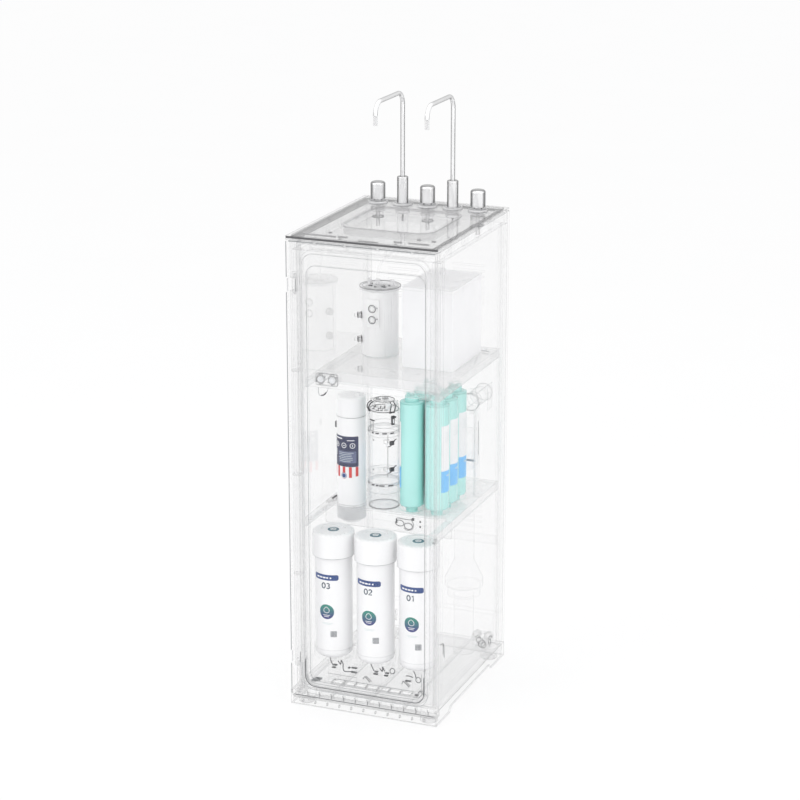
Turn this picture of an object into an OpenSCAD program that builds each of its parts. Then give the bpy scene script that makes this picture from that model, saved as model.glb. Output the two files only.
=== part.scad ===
// Floor-standing hot and cold water purifier: a clear cabinet on a plinth, with a
// hinged glazed door, two swan-neck spouts and three knobs on its glass top.
// Millimetres, +Z up, origin on the floor under the middle of the cabinet, front at -Y.

/* [Cabinet] */
// Width of the cabinet
cabinet_w = 330; // [326:1:360]
// Depth of the cabinet
cabinet_d = 415; // [411:1:450]
// Height from the floor to the top of the glass
cabinet_h = 1017; // [1000:1:1100]
// Thickness of the side and back skins
skin_t = 4; // [2:0.5:5]
// Width of the front posts
front_post_w = 18; // [16:1:20]
// Width of the rear posts
rear_post_w = 12; // [10:1:14]
// Depth of a post
post_d = 18; // [14:1:22]
// Wall of a hollow post
post_wall = 2.2; // [1.5:0.1:3]
// Thickness of the inner side liners
liner_t = 1.6; // [1:0.1:2.5]
// Radius of the cabinet's upright front corners
corner_r = 3; // [1:0.5:3.5]

/* [Plinth] */
// Height of the plinth
plinth_h = 32; // [28:1:40]
// Thickness of the plinth's deck
deck_t = 4; // [3:0.5:6]
// Wall of the plinth's skirt
skirt_t = 4; // [3:0.5:5]
// Height of the rubber pads
pad_h = 3; // [2:0.5:5]
// Radius of the rubber pads
pad_r = 15; // [10:1:20]
// Gap between the skirt and the floor
skirt_gap = 1; // [0.5:0.5:1.5]
// Height of the arch in each side of the skirt
arch_h = 12; // [8:1:14]
// Length of the arch in each side of the skirt
arch_l = 255; // [200:5:280]
// Distance from one vent cell to the next in the deck
vent_pitch = 26; // [22:1:28]
// Number of vent cells
vent_count = 7; // [3:1:8]
// Depth of a vent cell
vent_d = 21; // [12:1:24]
// Distance of the vent cells from the deck's front edge
vent_inset = 40; // [26:1:46]
// Sideways place of the vent cells' middle
vent_x = -10; // [-14:1:14]

/* [Door] */
// Thickness of the door
door_t = 20; // [18:0.5:24]
// Thickness of the door's front frame, the rest is its liner
door_front_t = 12; // [10:0.5:14]
// Clearance between the door and the skins beside it
door_side_gap = 2; // [1.5:0.5:3]
// Clearance above and below the door
door_end_gap = 2; // [1:0.5:4]
// Height of the plinth's ledge under the door
ledge_z = 19; // [14:1:22]
// Space between the door's back and the posts, filled by the gasket
gasket_space = 4; // [3:0.5:6]
// Clearance between the gasket and what it meets
gasket_gap = 0.3; // [0.2:0.1:0.5]
// Width of the gasket
gasket_w = 5; // [4:0.5:6]
// Distance of the gasket from the door's upright edges
gasket_inset = 7.5; // [7.5:0.1:8]
// Width of the hinge stile, barrel and flat together
stile_w = 20; // [20:0.5:22]
// Width of the frame between the stile and the window
frame_left_w = 9.5; // [8:0.5:14]
// Width of the frame right of the window
frame_right_w = 21; // [18:0.5:26]
// Height of the frame above the window
frame_top_h = 24; // [22:0.5:34]
// Height of the frame below the window
frame_bottom_h = 29; // [26:0.5:40]
// Corner radius of the window
window_r = 24; // [12:1:32]
// How far the pane reaches behind the frame
pane_rebate = 8; // [5:0.5:9]
// Thickness of the pane
pane_t = 4; // [3:0.5:5]
// How far the liner's opening stands inside the window at its sides and foot
liner_lip = 5; // [3:0.5:7]
// How far the liner's opening stands inside the window at its top
liner_top_lip = 27; // [5:1:30]
// Gap between the segments of the hinge stile
stile_seam = 0.8; // [0.4:0.1:1.5]

/* [Hinges] */
// Radius of the hinge pins
hinge_pin_r = 2.5; // [2:0.1:3]
// Running clearance round the hinge pins
pin_clearance = 0.06; // [0.03:0.01:0.1]
// Radius of the hinge knuckles
knuckle_r = 5.4; // [4.5:0.1:5.6]
// How far the stile's notches reach past the hinge axis
notch_reach = 6; // [6:0.1:6.5]
// Height of the upper hinge's middle
upper_hinge_z = 917; // [880:1:940]
// Height of the upper hinge's notch
upper_notch_h = 28; // [20:1:40]
// Height of the lower hinge's middle
lower_hinge_z = 60; // [58:1:90]
// Height of the lower hinge's notch
lower_notch_h = 58; // [40:1:60]
// How far the pins reach into the stile past each notch
pin_reach = 7; // [5:0.5:8]

/* [Top] */
// Thickness of the glass
glass_t = 4; // [3:0.5:5]
// Thickness of the bezel's ledge under the glass
ledge_t = 3; // [2:0.5:4]
// Width of the bezel beside the glass
bezel_w = 8; // [6:0.5:10]
// How far the ledge reaches under the glass
bezel_ledge_w = 7; // [5:0.5:9]
// Height of the frame under the bezel
top_frame_h = 26; // [22:1:30]
// Wall of the frame under the bezel
top_frame_t = 4; // [3:0.5:5]
// Thickness of the deck that carries the taps
tap_deck_t = 3; // [2:0.5:4]
// Width of the drip tray
tray_w = 200; // [160:5:220]
// Distance of the drip tray behind the cabinet's front
tray_front = 117; // [110:1:160]
// Gap between the drip tray and the rings of the taps
tray_tap_gap = 14.5; // [14:0.5:40]
// Corner radius of the drip tray
tray_r = 35; // [20:1:45]
// How deep the drip tray is
tray_depth = 15; // [10:1:18]
// Wall of the drip tray
tray_t = 2.5; // [1.5:0.5:3]
// Width of the drip tray's rim on the glass
tray_rim_w = 4; // [3:0.5:6]
// Thickness of the drip tray's rim
tray_rim_t = 1.2; // [0.8:0.1:2]

/* [Taps] */
// Distance between neighbouring taps, as a share of the cabinet's width
tap_pitch_share = 0.1712; // [0.16:0.0002:0.176]
// Sideways place of the row's middle
tap_row_x = 2; // [-4:0.5:4]
// Distance of the row from the cabinet's back
tap_back = 57.5; // [54:0.5:64]
// Radius of the valve bodies and faucet shanks
shank_r = 12; // [10:0.5:12.5]
// Radius of the rings round the taps
escutcheon_r = 21; // [18:0.5:24]
// Height of the rings round the taps
escutcheon_h = 5; // [3:0.5:6]
// Radius of the nuts under the tap deck
nut_r = 17; // [15:0.5:20]
// Height of the nuts
nut_h = 7; // [5:0.5:9]
// Height of the faucet collars
collar_h = 61; // [50:1:75]
// Depth of the faucet shanks below the glass
faucet_shank_l = 64; // [50:1:68]
// Depth of the valve bodies below the glass
valve_l = 31; // [26:1:40]
// Radius of the spout tube
spout_r = 4.8; // [4:0.1:6]
// Bore radius of the spout tube
spout_bore_r = 3.4; // [2.5:0.1:3.6]
// Height of the spout's arm above the glass
spout_rise = 241; // [200:1:270]
// Reach of the spout from its tube to its tip
spout_reach = 149; // [120:1:150]
// Bend radius of the spout
spout_bend_r = 26; // [18:1:32]
// Depth of the spout's foot inside its collar
spout_seat = 38; // [20:1:45]
// Length of the clear tip below the spout
tip_l = 21; // [12:1:30]
// Length of the tip's spigot inside the spout
tip_spigot_l = 1.5; // [1:0.1:2]
// Radius of the knobs
knob_r = 16; // [13:0.5:18]
// Height of the knobs
knob_h = 36; // [28:1:42]
// Radius of the knobs' rounded top edge
knob_round = 5; // [2:0.5:7]
// Gap between a knob and its ring
knob_lift = 4.5; // [3:0.5:8]
// Radius of the knob stems
stem_r = 4; // [3:0.1:5]
// Depth of the knob stems below the glass
stem_l = 51; // [40:1:60]

/* [Shelves] */
// Height of the upper shelf's floor
upper_shelf_z = 708; // [700:1:720]
// Height of the lower shelf's floor
lower_shelf_z = 408; // [400:1:420]
// Thickness of the shelves
shelf_t = 5; // [3:0.5:6]
// Height of the flanges under the shelves' sides
flange_h = 15; // [10:1:20]
// Thickness of the shelves' flanges
flange_t = 4; // [2:0.5:5]
// Distance of the fascia behind the front posts
fascia_setback = 8; // [1:0.5:12]
// Thickness of the upper shelf's fascia
fascia_t = 3; // [2:0.5:4]
// Height of the fascia above the shelf's floor
fascia_up = 20; // [12:1:26]
// Height of the fascia below the shelf's floor
fascia_down = 17; // [10:1:20]
// Distance of the lower shelf's front edge from the front posts
lower_setback = 98; // [90:1:100]
// Width of the runners beside the lower shelf's setback
runner_w = 15; // [10:1:20]
// Height of the apron under the lower shelf's front edge
apron_h = 43; // [30:1:50]
// Thickness of the apron
apron_t = 2.5; // [2:0.5:3]
// Height of the rear crossbar's foot
crossbar_z = 262; // [200:1:300]
// Height of the rear crossbar
crossbar_h = 20; // [12:1:30]
// Thickness of the rear crossbar
crossbar_t = 6; // [4:0.5:10]

/* [Switches] */
// Distance of the pair of switches from the shelf's left end
switch_inset = 48.6; // [40:0.2:240]
// Distance between the two switches
switch_pitch = 26; // [22:0.5:40]
// Radius of a switch's bezel
switch_bezel_r = 9.5; // [9:0.5:10.5]
// Radius of a switch's barrel
switch_barrel_r = 8; // [7.8:0.1:8.4]
// Radius of a rocker
rocker_r = 6.2; // [5:0.1:6.4]
// Tilt of a rocker to either side of its middle
rocker_tilt = 8; // [4:0.5:9]

/* [Hot tank] */
// Radius of the hot tank
hot_r = 39; // [32:0.5:41]
// Height of the hot tank with its lid
hot_h = 149; // [120:1:170]
// Radius of the hot tank's lid
hot_lid_r = 44; // [42:0.5:46]
// Thickness of the hot tank's lid
hot_lid_t = 6; // [4:0.5:8]
// Wall of the hot tank
hot_wall = 1.5; // [1:0.1:3]
// Gap between the hot tank's lid and the left liner
hot_side_gap = 28.4; // [24:0.2:40]
// Distance of the hot tank's middle from the back panel
hot_back = 129.5; // [110:0.5:150]
// Radius of the thermostats
thermostat_r = 8.5; // [6:0.5:9]

/* [Cold tank] */
// Gap between the hot tank's lid and the cold tank's jacket
tank_gap = 37; // [30:1:60]
// Depth of the cold tank's jacket
cold_d = 173; // [140:1:180]
// Height of the cold tank's jacket
cold_h = 172; // [140:1:190]
// Wall of the jacket
cold_wall = 5; // [3:0.5:8]
// Thickness of the jacket's lid
cold_lid_t = 6; // [4:0.5:10]
// Gap between the jacket and the right liner
cold_side_gap = 27.4; // [22:0.2:50]
// Distance of the jacket from the back panel
cold_back = 35.5; // [20:0.5:45]
// Depth of the inner tank from front to back
cold_inner_d = 101; // [80:1:120]

/* [Membrane and buffer tank] */
// Share of the row's width that the membrane housing takes
membrane_share = 0.27; // [0.24:0.01:0.28]
// Height of the membrane housing's top above the lower shelf
membrane_top = 236; // [200:1:250]
// Depth of the membrane housing's foot below the lower shelf
membrane_drop = 34; // [20:1:36]
// Height of the membrane housing's head
membrane_head_h = 43; // [30:1:60]
// Gap between the membrane housing and the left liner
membrane_side_gap = 19.4; // [12:0.2:24]
// Share of the row's width that the buffer tank takes
buffer_share = 0.2875; // [0.26:0.0025:0.29]
// Height of the buffer tank's body
buffer_h = 213; // [180:1:230]
// Height of the buffer tank's cap
buffer_cap_h = 20; // [14:1:30]
// Gap between the membrane housing and the buffer tank
buffer_gap = 10; // [8:0.5:12]
// Gap between the buffer tank and the mineral filters
mineral_gap = 8.6; // [6:0.2:12]

/* [Mineral filters] */
// Height of a mineral filter with its neck
mineral_h = 242; // [200:1:250]
// Gap between the two columns
mineral_column_gap = 5.2; // [3:0.2:8]
// Gap between the rows
mineral_row_gap = 0.3; // [0.3:0.1:2]
// Gap between the right column and the right liner
mineral_side_gap = 22; // [16:0.5:26]
// Height of a mineral filter's neck
mineral_neck_h = 12; // [8:0.5:16]
// Radius of a mineral filter's neck
mineral_neck_r = 12.5; // [9:0.5:15]

/* [Pump and control box] */
// Radius of the booster pump
pump_r = 18.5; // [14:0.5:20]
// Gap between the booster pump and the back panel
pump_back = 25.6; // [20:0.2:50]
// Height of the pump's axis above the lower shelf
pump_up = 208; // [190:1:230]
// Width of the control box
control_w = 70; // [50:1:80]
// Height of the control box
control_h = 83; // [60:1:100]
// Depth of the control box
control_d = 40; // [25:1:55]

/* [Prefilters] */
// How far a prefilter's cap stands out round its body
prefilter_step = 4.9; // [3:0.1:8]
// Gap between neighbouring prefilters' caps
prefilter_gap = 6.5; // [4:0.1:12]
// Gap between the outer caps and the front posts
prefilter_side_gap = 2.7; // [2.5:0.1:8]
// Height of a prefilter's cap
prefilter_cap_h = 53; // [40:1:70]
// Height of a prefilter with its cap
prefilter_h = 278; // [250:1:300]
// Sideways place of the middle prefilter
prefilter_x = 1; // [-2:0.5:2]
// Gap between the prefilters' caps and the gasket's plane
prefilter_front_gap = 1.1; // [0.5:0.1:5]
// Height of the prefilters' feet above the deck
prefilter_lift = 70; // [60:1:80]

/* [Accumulator and fittings] */
// Depth of the service bay in the back
bay_d = 20; // [17:1:22]
// Height of the service bay
bay_h = 72; // [66:1:100]
// Radius of the accumulator's belly
belly_r = 42; // [34:1:46]
// Radius of the accumulator's columns
column_r = 22; // [16:1:26]
// Height of the accumulator
accumulator_h = 322; // [280:1:330]
// Distance of the accumulator's axis from the right liner
accumulator_side = 47.4; // [47:0.2:60]
// Distance of the accumulator's axis from the back panel
accumulator_back = 78.5; // [60:0.5:90]
// Bore radius of the water fittings
port_r = 3.2; // [3:0.1:4]
// Outer radius of the water fittings
fitting_r = 7; // [6:0.5:8]
// Outer radius of the inner water tubes
tube_r = 3.2; // [2:0.1:4]

/* [Hidden] */
$fn = 64;

// One overrun for every cut, and the clearance between pieces that stay put.
over = 1;
seat = 0.3;

// Planes of the cabinet
side_x = cabinet_w / 2;
skin_x = side_x - skin_t;
front_y = -cabinet_d / 2;
back_y = cabinet_d / 2;
panel_y = back_y - skin_t;
bezel_z = cabinet_h - glass_t - ledge_t;
frame_z = bezel_z - top_frame_h;
door_back_y = front_y + door_t;
post_y = door_back_y + gasket_space;
liner_x = skin_x - rear_post_w;
inside_x = liner_x - liner_t;
inside_y = post_y + post_d;
shelf_x = inside_x - seat;
shelf_back_y = panel_y - seat;
bay_y = back_y - bay_d;
bay_top = plinth_h + bay_h;

// Hinge axis, at the middle of the stile's barrel
barrel_r = door_t / 2;
hinge_x = -skin_x + door_side_gap + barrel_r;
hinge_y = front_y + barrel_r;
door_left = hinge_x - barrel_r;
door_right = skin_x - door_side_gap;
door_bottom = ledge_z + door_end_gap;
door_top = bezel_z - door_end_gap;
stile_right = door_left + stile_w;

// Window in the door's frame
window_left = stile_right + frame_left_w;
window_right = door_right - frame_right_w;
window_bottom = door_bottom + frame_bottom_h;
window_top = door_top - frame_top_h;

// Taps
tap_y = back_y - tap_back;
tap_pitch = tap_pitch_share * cabinet_w;
arm_z = cabinet_h + spout_rise;
tray_low_y = front_y + tray_front;
tray_high_y = tap_y - escutcheon_r - tray_tap_gap;
tip_y = tap_y - spout_reach;
tip_top_z = arm_z - spout_bend_r;
shank_hole_r = shank_r + seat;
knob_z = cabinet_h + escutcheon_h + knob_lift;
tap_xs = [for (i = [-2:2]) tap_row_x + i * tap_pitch];
knob_xs = [tap_xs[0], tap_xs[2], tap_xs[4]];
hot_faucet_x = tap_xs[1];
cold_faucet_x = tap_xs[3];

// Tanks on the upper shelf
hot_x = -inside_x + hot_side_gap + hot_lid_r;
hot_y = panel_y - hot_back;
hot_lid_z = upper_shelf_z + hot_h - hot_lid_t;
cold_right = inside_x - cold_side_gap;
cold_left = hot_x + hot_lid_r + tank_gap;
cold_rear = panel_y - cold_back;
cold_front = cold_rear - cold_d;
cold_lid_z = upper_shelf_z + cold_h - cold_lid_t;

// Pieces on the lower shelf
lower_front_y = inside_y + lower_setback;
row_w = 2 * inside_x - membrane_side_gap - buffer_gap - mineral_gap - mineral_column_gap
    - mineral_side_gap;
membrane_r = row_w * membrane_share / 2;
buffer_r = row_w * buffer_share / 2;
mineral_r = row_w * (1 - membrane_share - buffer_share) / 4;
mineral_pitch_x = 2 * mineral_r + mineral_column_gap;
mineral_pitch_y = 2 * mineral_r + mineral_row_gap;
membrane_x = -inside_x + membrane_side_gap + membrane_r;
membrane_y = lower_front_y + apron_t + 2 * seat + membrane_r;
buffer_x = membrane_x + membrane_r + buffer_gap + buffer_r;
buffer_y = lower_front_y + apron_t + buffer_r;
mineral_right_x = inside_x - mineral_side_gap - mineral_r;
mineral_left_x = mineral_right_x - mineral_pitch_x;
mineral_front_y = lower_front_y + mineral_r;
mineral_rear_y = mineral_front_y + 2 * mineral_pitch_y;
rack_y = mineral_rear_y + mineral_r + seat;
rack_t = 3;

// Prefilters in the bottom compartment
prefilter_cap_r = (2 * (skin_x - front_post_w - prefilter_side_gap) - 2 * prefilter_gap) / 6;
prefilter_r = prefilter_cap_r - prefilter_step;
prefilter_pitch = 2 * prefilter_cap_r + prefilter_gap;
prefilter_y = post_y + prefilter_front_gap + prefilter_cap_r;
prefilter_z = plinth_h + prefilter_lift;
prefilter_xs = [for (i = [-1:1]) prefilter_x + i * prefilter_pitch];

// Rounded rectangle in a plane, from low to high corner.
module rounded_rect(low, high, r) {
    for (x = [low[0] + r, high[0] - r])
        for (y = [low[1] + r, high[1] - r])
            translate([x, y])
                circle(r);
    translate([low[0] + r, low[1]])
        square([high[0] - low[0] - 2 * r, high[1] - low[1]]);
    translate([low[0], low[1] + r])
        square([high[0] - low[0], high[1] - low[1] - 2 * r]);
}

// Upright plate from an outline drawn in X and Z, between two depths.
module upright(y_low, y_high) {
    translate([0, y_high, 0])
        rotate([90, 0, 0])
            linear_extrude(y_high - y_low)
                children();
}

// Flat plate from an outline drawn in X and Y, between two heights.
module level(z_low, z_high) {
    translate([0, 0, z_low])
        linear_extrude(z_high - z_low)
            children();
}

// Box from its low corner to its high corner.
module block(low, high) {
    translate(low)
        cube(high - low);
}

// Turned body with round edges of its own at top and bottom.
module turned(r, h, top_round, bottom_round) {
    rotate_extrude()
        intersection() {
            union() {
                translate([0, bottom_round])
                    square([r, h - top_round - bottom_round]);
                square([r - bottom_round, h - top_round]);
                translate([0, bottom_round])
                    square([r - top_round, h - bottom_round]);
                translate([r - top_round, h - top_round])
                    circle(top_round);
                translate([r - bottom_round, bottom_round])
                    circle(bottom_round);
            }
            square([r, h]);
        }
}

// Upright cylinder from one height to another.
module rod(x, y, z_low, z_high, r) {
    translate([x, y, z_low])
        cylinder(h = z_high - z_low, r = r);
}

// Upright ring from one height to another.
module ring(x, y, z_low, z_high, r, bore_r) {
    difference() {
        rod(x, y, z_low, z_high, r);
        rod(x, y, z_low - over, z_high + over, bore_r);
    }
}

// Round bar that runs towards the back.
module bar_y(x, z, y_low, y_high, r) {
    translate([x, y_high, z])
        rotate([90, 0, 0])
            cylinder(h = y_high - y_low, r = r);
}

// Plinth: skirt, deck, door ledge, vent cells and bosses for the pads.
skirt_slit_w = 2;
skirt_slit_h = 5;
skirt_slit_count = 11;
pad_inset = 26;
boss_r = pad_r + skirt_t;
plinth_rib_h = 10;
plinth_rib_t = 3;
arch_end = 10;
vent_bar_w = 2.5;

module vent_cells() {
    cell_w = vent_pitch - vent_bar_w;
    low_y = post_y + vent_inset;
    for (i = [0:vent_count - 1]) {
        middle_x = vent_x + (i - (vent_count - 1) / 2) * vent_pitch;
        block([middle_x - cell_w / 2, low_y, plinth_h - deck_t - over],
              [middle_x + cell_w / 2, low_y + vent_d, plinth_h + over]);
    }
}

module skirt_arch() {
    half = arch_l / 2;
    translate([side_x + over, 0, 0])
        rotate([90, 0, -90])
            linear_extrude(cabinet_w + 2 * over)
                polygon([
                    [-half, -over], [half, -over], [half, skirt_gap],
                    [half - arch_end, arch_h], [arch_end - half, arch_h],
                    [-half, skirt_gap]
                ]);
}

module skirt_slits() {
    pitch = cabinet_w / (skirt_slit_count + 1);
    slit_z = (skirt_gap + ledge_z - skirt_slit_h) / 2;
    for (i = [1:skirt_slit_count]) {
        slit_x = -side_x + i * pitch;
        block([slit_x - skirt_slit_w / 2, front_y - over, slit_z],
              [slit_x + skirt_slit_w / 2, front_y + skirt_t + over, slit_z + skirt_slit_h]);
    }
}

module pad_places() {
    for (x = [pad_inset - side_x, side_x - pad_inset])
        for (y = [front_y + pad_inset, back_y - pad_inset])
            translate([x, y, 0])
                children();
}

module base_pan() {
    color([0.93, 0.94, 0.95, 0.5])
        difference() {
            union() {
                difference() {
                    block([-side_x, front_y, skirt_gap], [side_x, back_y, plinth_h]);
                    block([skirt_t - side_x, front_y + skirt_t, -over],
                          [side_x - skirt_t, back_y - skirt_t, plinth_h - deck_t]);
                }
                block([-side_x, front_y, ledge_z - skirt_t], [side_x, post_y + skirt_t, ledge_z]);
                block([-side_x, post_y, ledge_z - skirt_t],
                      [side_x, post_y + skirt_t, plinth_h]);
                for (share = [-0.25, 0, 0.25])
                    block([share * cabinet_w, front_y + skirt_t, plinth_h - deck_t - plinth_rib_h],
                          [share * cabinet_w + plinth_rib_t, back_y - skirt_t, plinth_h]);
                pad_places()
                    rod(0, 0, pad_h, plinth_h - deck_t / 2, boss_r);
            }
            block([skirt_t - side_x, front_y - over, ledge_z],
                  [side_x - skirt_t, post_y, plinth_h + over]);
            vent_cells();
            skirt_arch();
            skirt_slits();
        }
}

module foot_pads() {
    color([0.25, 0.25, 0.27])
        pad_places()
            rod(0, 0, 0, pad_h, pad_r);
}

// Side panels: a skin with a hollow post at the front and one at the back.
module hollow_post(low, high) {
    difference() {
        translate(low)
            square(high - low);
        translate(low + [post_wall, post_wall])
            square(high - low - 2 * [post_wall, post_wall]);
    }
}

module side_panel() {
    color([0.95, 0.96, 0.97, 0.3]) {
        level(plinth_h, bezel_z)
            union() {
                translate([skin_x, front_y + corner_r])
                    square([skin_t, cabinet_d - corner_r]);
                translate([skin_x, front_y])
                    square([skin_t - corner_r, corner_r + over]);
                translate([side_x - corner_r, front_y + corner_r])
                    circle(corner_r);
            }
        level(plinth_h, frame_z) {
            hollow_post([skin_x - front_post_w, post_y], [skin_x, inside_y]);
            hollow_post([liner_x, panel_y - post_d], [skin_x, panel_y]);
        }
    }
}

module side_panel_right() {
    side_panel();
}

module side_panel_left() {
    mirror([1, 0, 0])
        side_panel();
}

// Back panel with louvres, and the bay at its foot for the fittings.
louvre_w = 70;
louvre_h = 3;
louvre_pitch = 12;
louvre_count = 8;
louvre_x = 75;
louvre_up = 92;
upper_louvre_z = upper_shelf_z + louvre_up;
lower_louvre_z = crossbar_z + crossbar_h + louvre_pitch;
fitting_up = 16;
fitting_inset = 30;
fitting_pitch = 27;
fitting_z = plinth_h + fitting_up;
fitting_xs = [side_x - fitting_inset - fitting_pitch, side_x - fitting_inset];
inlet_inset = 65;
inlet_up = 34;
inlet_x = inlet_inset - side_x;
inlet_z = plinth_h + inlet_up;
inlet_w = 27;
inlet_h = 20;

module back_panel() {
    bay_front = bay_y - skin_t;
    color([0.95, 0.96, 0.97, 0.4])
        difference() {
            union() {
                block([seat - skin_x, panel_y, bay_top - skin_t], [skin_x - seat, back_y, bezel_z]);
                block([-shelf_x, bay_front, bay_top - skin_t], [shelf_x, back_y, bay_top]);
                block([-shelf_x, bay_front, plinth_h], [shelf_x, bay_y, bay_top]);
            }
            for (x = [-louvre_x, louvre_x])
                for (z = [upper_louvre_z, lower_louvre_z])
                    for (i = [0:louvre_count - 1])
                        block([x - louvre_w / 2, panel_y - over, z + i * louvre_pitch],
                              [x + louvre_w / 2, back_y + over, z + i * louvre_pitch + louvre_h]);
            for (x = fitting_xs)
                bar_y(x, fitting_z, bay_front - over, bay_y + over, fitting_r + seat);
            block([inlet_x - inlet_w / 2 - seat, bay_front - over, inlet_z - inlet_h / 2 - seat],
                  [inlet_x + inlet_w / 2 + seat, bay_y + over, inlet_z + inlet_h / 2 + seat]);
        }
}

module side_liners() {
    color([0.97, 0.97, 0.98, 0.25])
        for (side = [0, 1])
            mirror([side, 0, 0])
                block([inside_x, inside_y + seat, plinth_h], [liner_x, shelf_back_y, frame_z]);
}

// Frame under the bezel: a rim with screw blocks and the deck that carries the taps.
screw_block_w = 14;
screw_block_d = 8;
screw_block_count = 4;
tap_deck_front = tap_y - escutcheon_r;

module top_frame() {
    color([0.93, 0.94, 0.95, 0.5])
        difference() {
            union() {
                difference() {
                    block([seat - skin_x, post_y, frame_z], [skin_x - seat, shelf_back_y, bezel_z]);
                    block([top_frame_t + seat - skin_x, post_y + top_frame_t, frame_z - over],
                          [skin_x - seat - top_frame_t, shelf_back_y - top_frame_t, bezel_z + over]);
                }
                block([seat - skin_x, tap_deck_front, bezel_z - tap_deck_t],
                      [skin_x - seat, shelf_back_y, bezel_z]);
                for (side = [-1, 1])
                    for (i = [1:screw_block_count])
                        translate([side * (skin_x - seat - top_frame_t - screw_block_d / 2),
                                   post_y + i * (shelf_back_y - post_y) / (screw_block_count + 1),
                                   (frame_z + bezel_z) / 2])
                            cube([screw_block_d + 2 * seat, screw_block_w, top_frame_h], center = true);
            }
            for (x = tap_xs)
                rod(x, tap_y, frame_z - over, bezel_z + over, shank_hole_r);
        }
}

// Bezel and glass
bezel_r = 6;
glass_gap = 0.2;

module top_bezel() {
    inner = [side_x - bezel_w, back_y - bezel_w];
    ledge = inner - [bezel_ledge_w, bezel_ledge_w];
    color([0.55, 0.56, 0.58])
        difference() {
            level(bezel_z, cabinet_h)
                rounded_rect([-side_x, front_y], [side_x, back_y], corner_r);
            level(bezel_z + ledge_t, cabinet_h + over)
                rounded_rect(-inner, inner, bezel_r);
            level(bezel_z - over, cabinet_h + over)
                rounded_rect(-ledge, ledge, bezel_r);
        }
}

module tray_outline(grow) {
    rounded_rect([-tray_w / 2 - grow, tray_low_y - grow],
                 [tray_w / 2 + grow, tray_high_y + grow], tray_r + grow);
}

module top_glass() {
    edge = [side_x - bezel_w - glass_gap, back_y - bezel_w - glass_gap];
    color([0.6, 0.63, 0.65, 0.4])
        difference() {
            level(cabinet_h - glass_t, cabinet_h)
                rounded_rect(-edge, edge, bezel_r - glass_gap);
            level(bezel_z, cabinet_h + over)
                tray_outline(seat);
            for (x = tap_xs)
                rod(x, tap_y, bezel_z, cabinet_h + over, shank_hole_r);
        }
}

module drip_tray() {
    color([0.8, 0.82, 0.84, 0.5])
        difference() {
            union() {
                level(cabinet_h - tray_depth - tray_t, cabinet_h + tray_rim_t)
                    tray_outline(0);
                level(cabinet_h, cabinet_h + tray_rim_t)
                    tray_outline(tray_rim_w);
            }
            level(cabinet_h - tray_depth, cabinet_h + tray_rim_t + over)
                tray_outline(-tray_t);
        }
}

// Shelves
hose_hole_r = 9;
hose_hole_side = 30;
switch_up = 2;
switch_z = upper_shelf_z + switch_up;
switch_x = switch_inset - shelf_x;
switch_xs = [switch_x - switch_pitch / 2, switch_x + switch_pitch / 2];
switch_back = 24;
fascia_y = inside_y + fascia_setback;
shelf_floor_y = fascia_y + fascia_t;

module shelf_flanges(front, floor_z) {
    for (side = [0, 1])
        mirror([side, 0, 0])
            block([shelf_x - flange_t, front, floor_z - shelf_t - flange_h],
                  [shelf_x, shelf_back_y, floor_z - shelf_t]);
}

module shelf_upper() {
    color([0.9, 0.91, 0.92, 0.6])
        difference() {
            union() {
                block([-shelf_x, shelf_floor_y, upper_shelf_z - shelf_t],
                      [shelf_x, shelf_back_y, upper_shelf_z]);
                shelf_flanges(shelf_floor_y, upper_shelf_z);
            }
            block([switch_xs[0] - switch_bezel_r, shelf_floor_y - over, upper_shelf_z - shelf_t - over],
                  [switch_xs[1] + switch_bezel_r, shelf_floor_y + switch_back, upper_shelf_z + over]);
            for (side = [-1, 1])
                rod(side * (shelf_x - hose_hole_side), shelf_back_y - hose_hole_r * 2,
                    upper_shelf_z - shelf_t - over, upper_shelf_z + over, hose_hole_r);
        }
}

module shelf_fascia() {
    color([0.93, 0.93, 0.94, 0.7])
        difference() {
            block([-shelf_x, fascia_y, upper_shelf_z - fascia_down],
                  [shelf_x, shelf_floor_y, upper_shelf_z + fascia_up]);
            for (x = switch_xs)
                bar_y(x, switch_z, fascia_y - over, shelf_floor_y + over, switch_barrel_r + seat);
        }
}

module shelf_lower() {
    color([0.9, 0.91, 0.92, 0.6])
        difference() {
            union() {
                block([-shelf_x, lower_front_y, lower_shelf_z - shelf_t],
                      [shelf_x, shelf_back_y, lower_shelf_z]);
                for (side = [0, 1])
                    mirror([side, 0, 0])
                        block([shelf_x - runner_w, inside_y + seat, lower_shelf_z - shelf_t],
                              [shelf_x, lower_front_y + over, lower_shelf_z]);
                shelf_flanges(inside_y + seat, lower_shelf_z);
                block([flange_t - shelf_x, lower_front_y, lower_shelf_z - apron_h],
                      [shelf_x - flange_t, lower_front_y + apron_t, lower_shelf_z - shelf_t]);
            }
            rod(membrane_x, membrane_y, lower_shelf_z - apron_h, lower_shelf_z + over,
                membrane_r + seat);
            for (side = [-1, 1])
                rod(side * (shelf_x - hose_hole_side), shelf_back_y - hose_hole_r * 2,
                    lower_shelf_z - shelf_t - over, lower_shelf_z + over, hose_hole_r);
        }
}

module rear_crossbar() {
    color([0.93, 0.94, 0.95, 0.5])
        block([-shelf_x, shelf_back_y - crossbar_t, crossbar_z],
              [shelf_x, shelf_back_y, crossbar_z + crossbar_h]);
}

// Round rocker switches in the fascia
switch_flange_t = 2.2;
rocker_t = 5;
rocker_depth = 7;
rocker_gap = 0.6;
rocker_z = switch_z;
rocker_y = fascia_y - switch_flange_t / 2;

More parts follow.
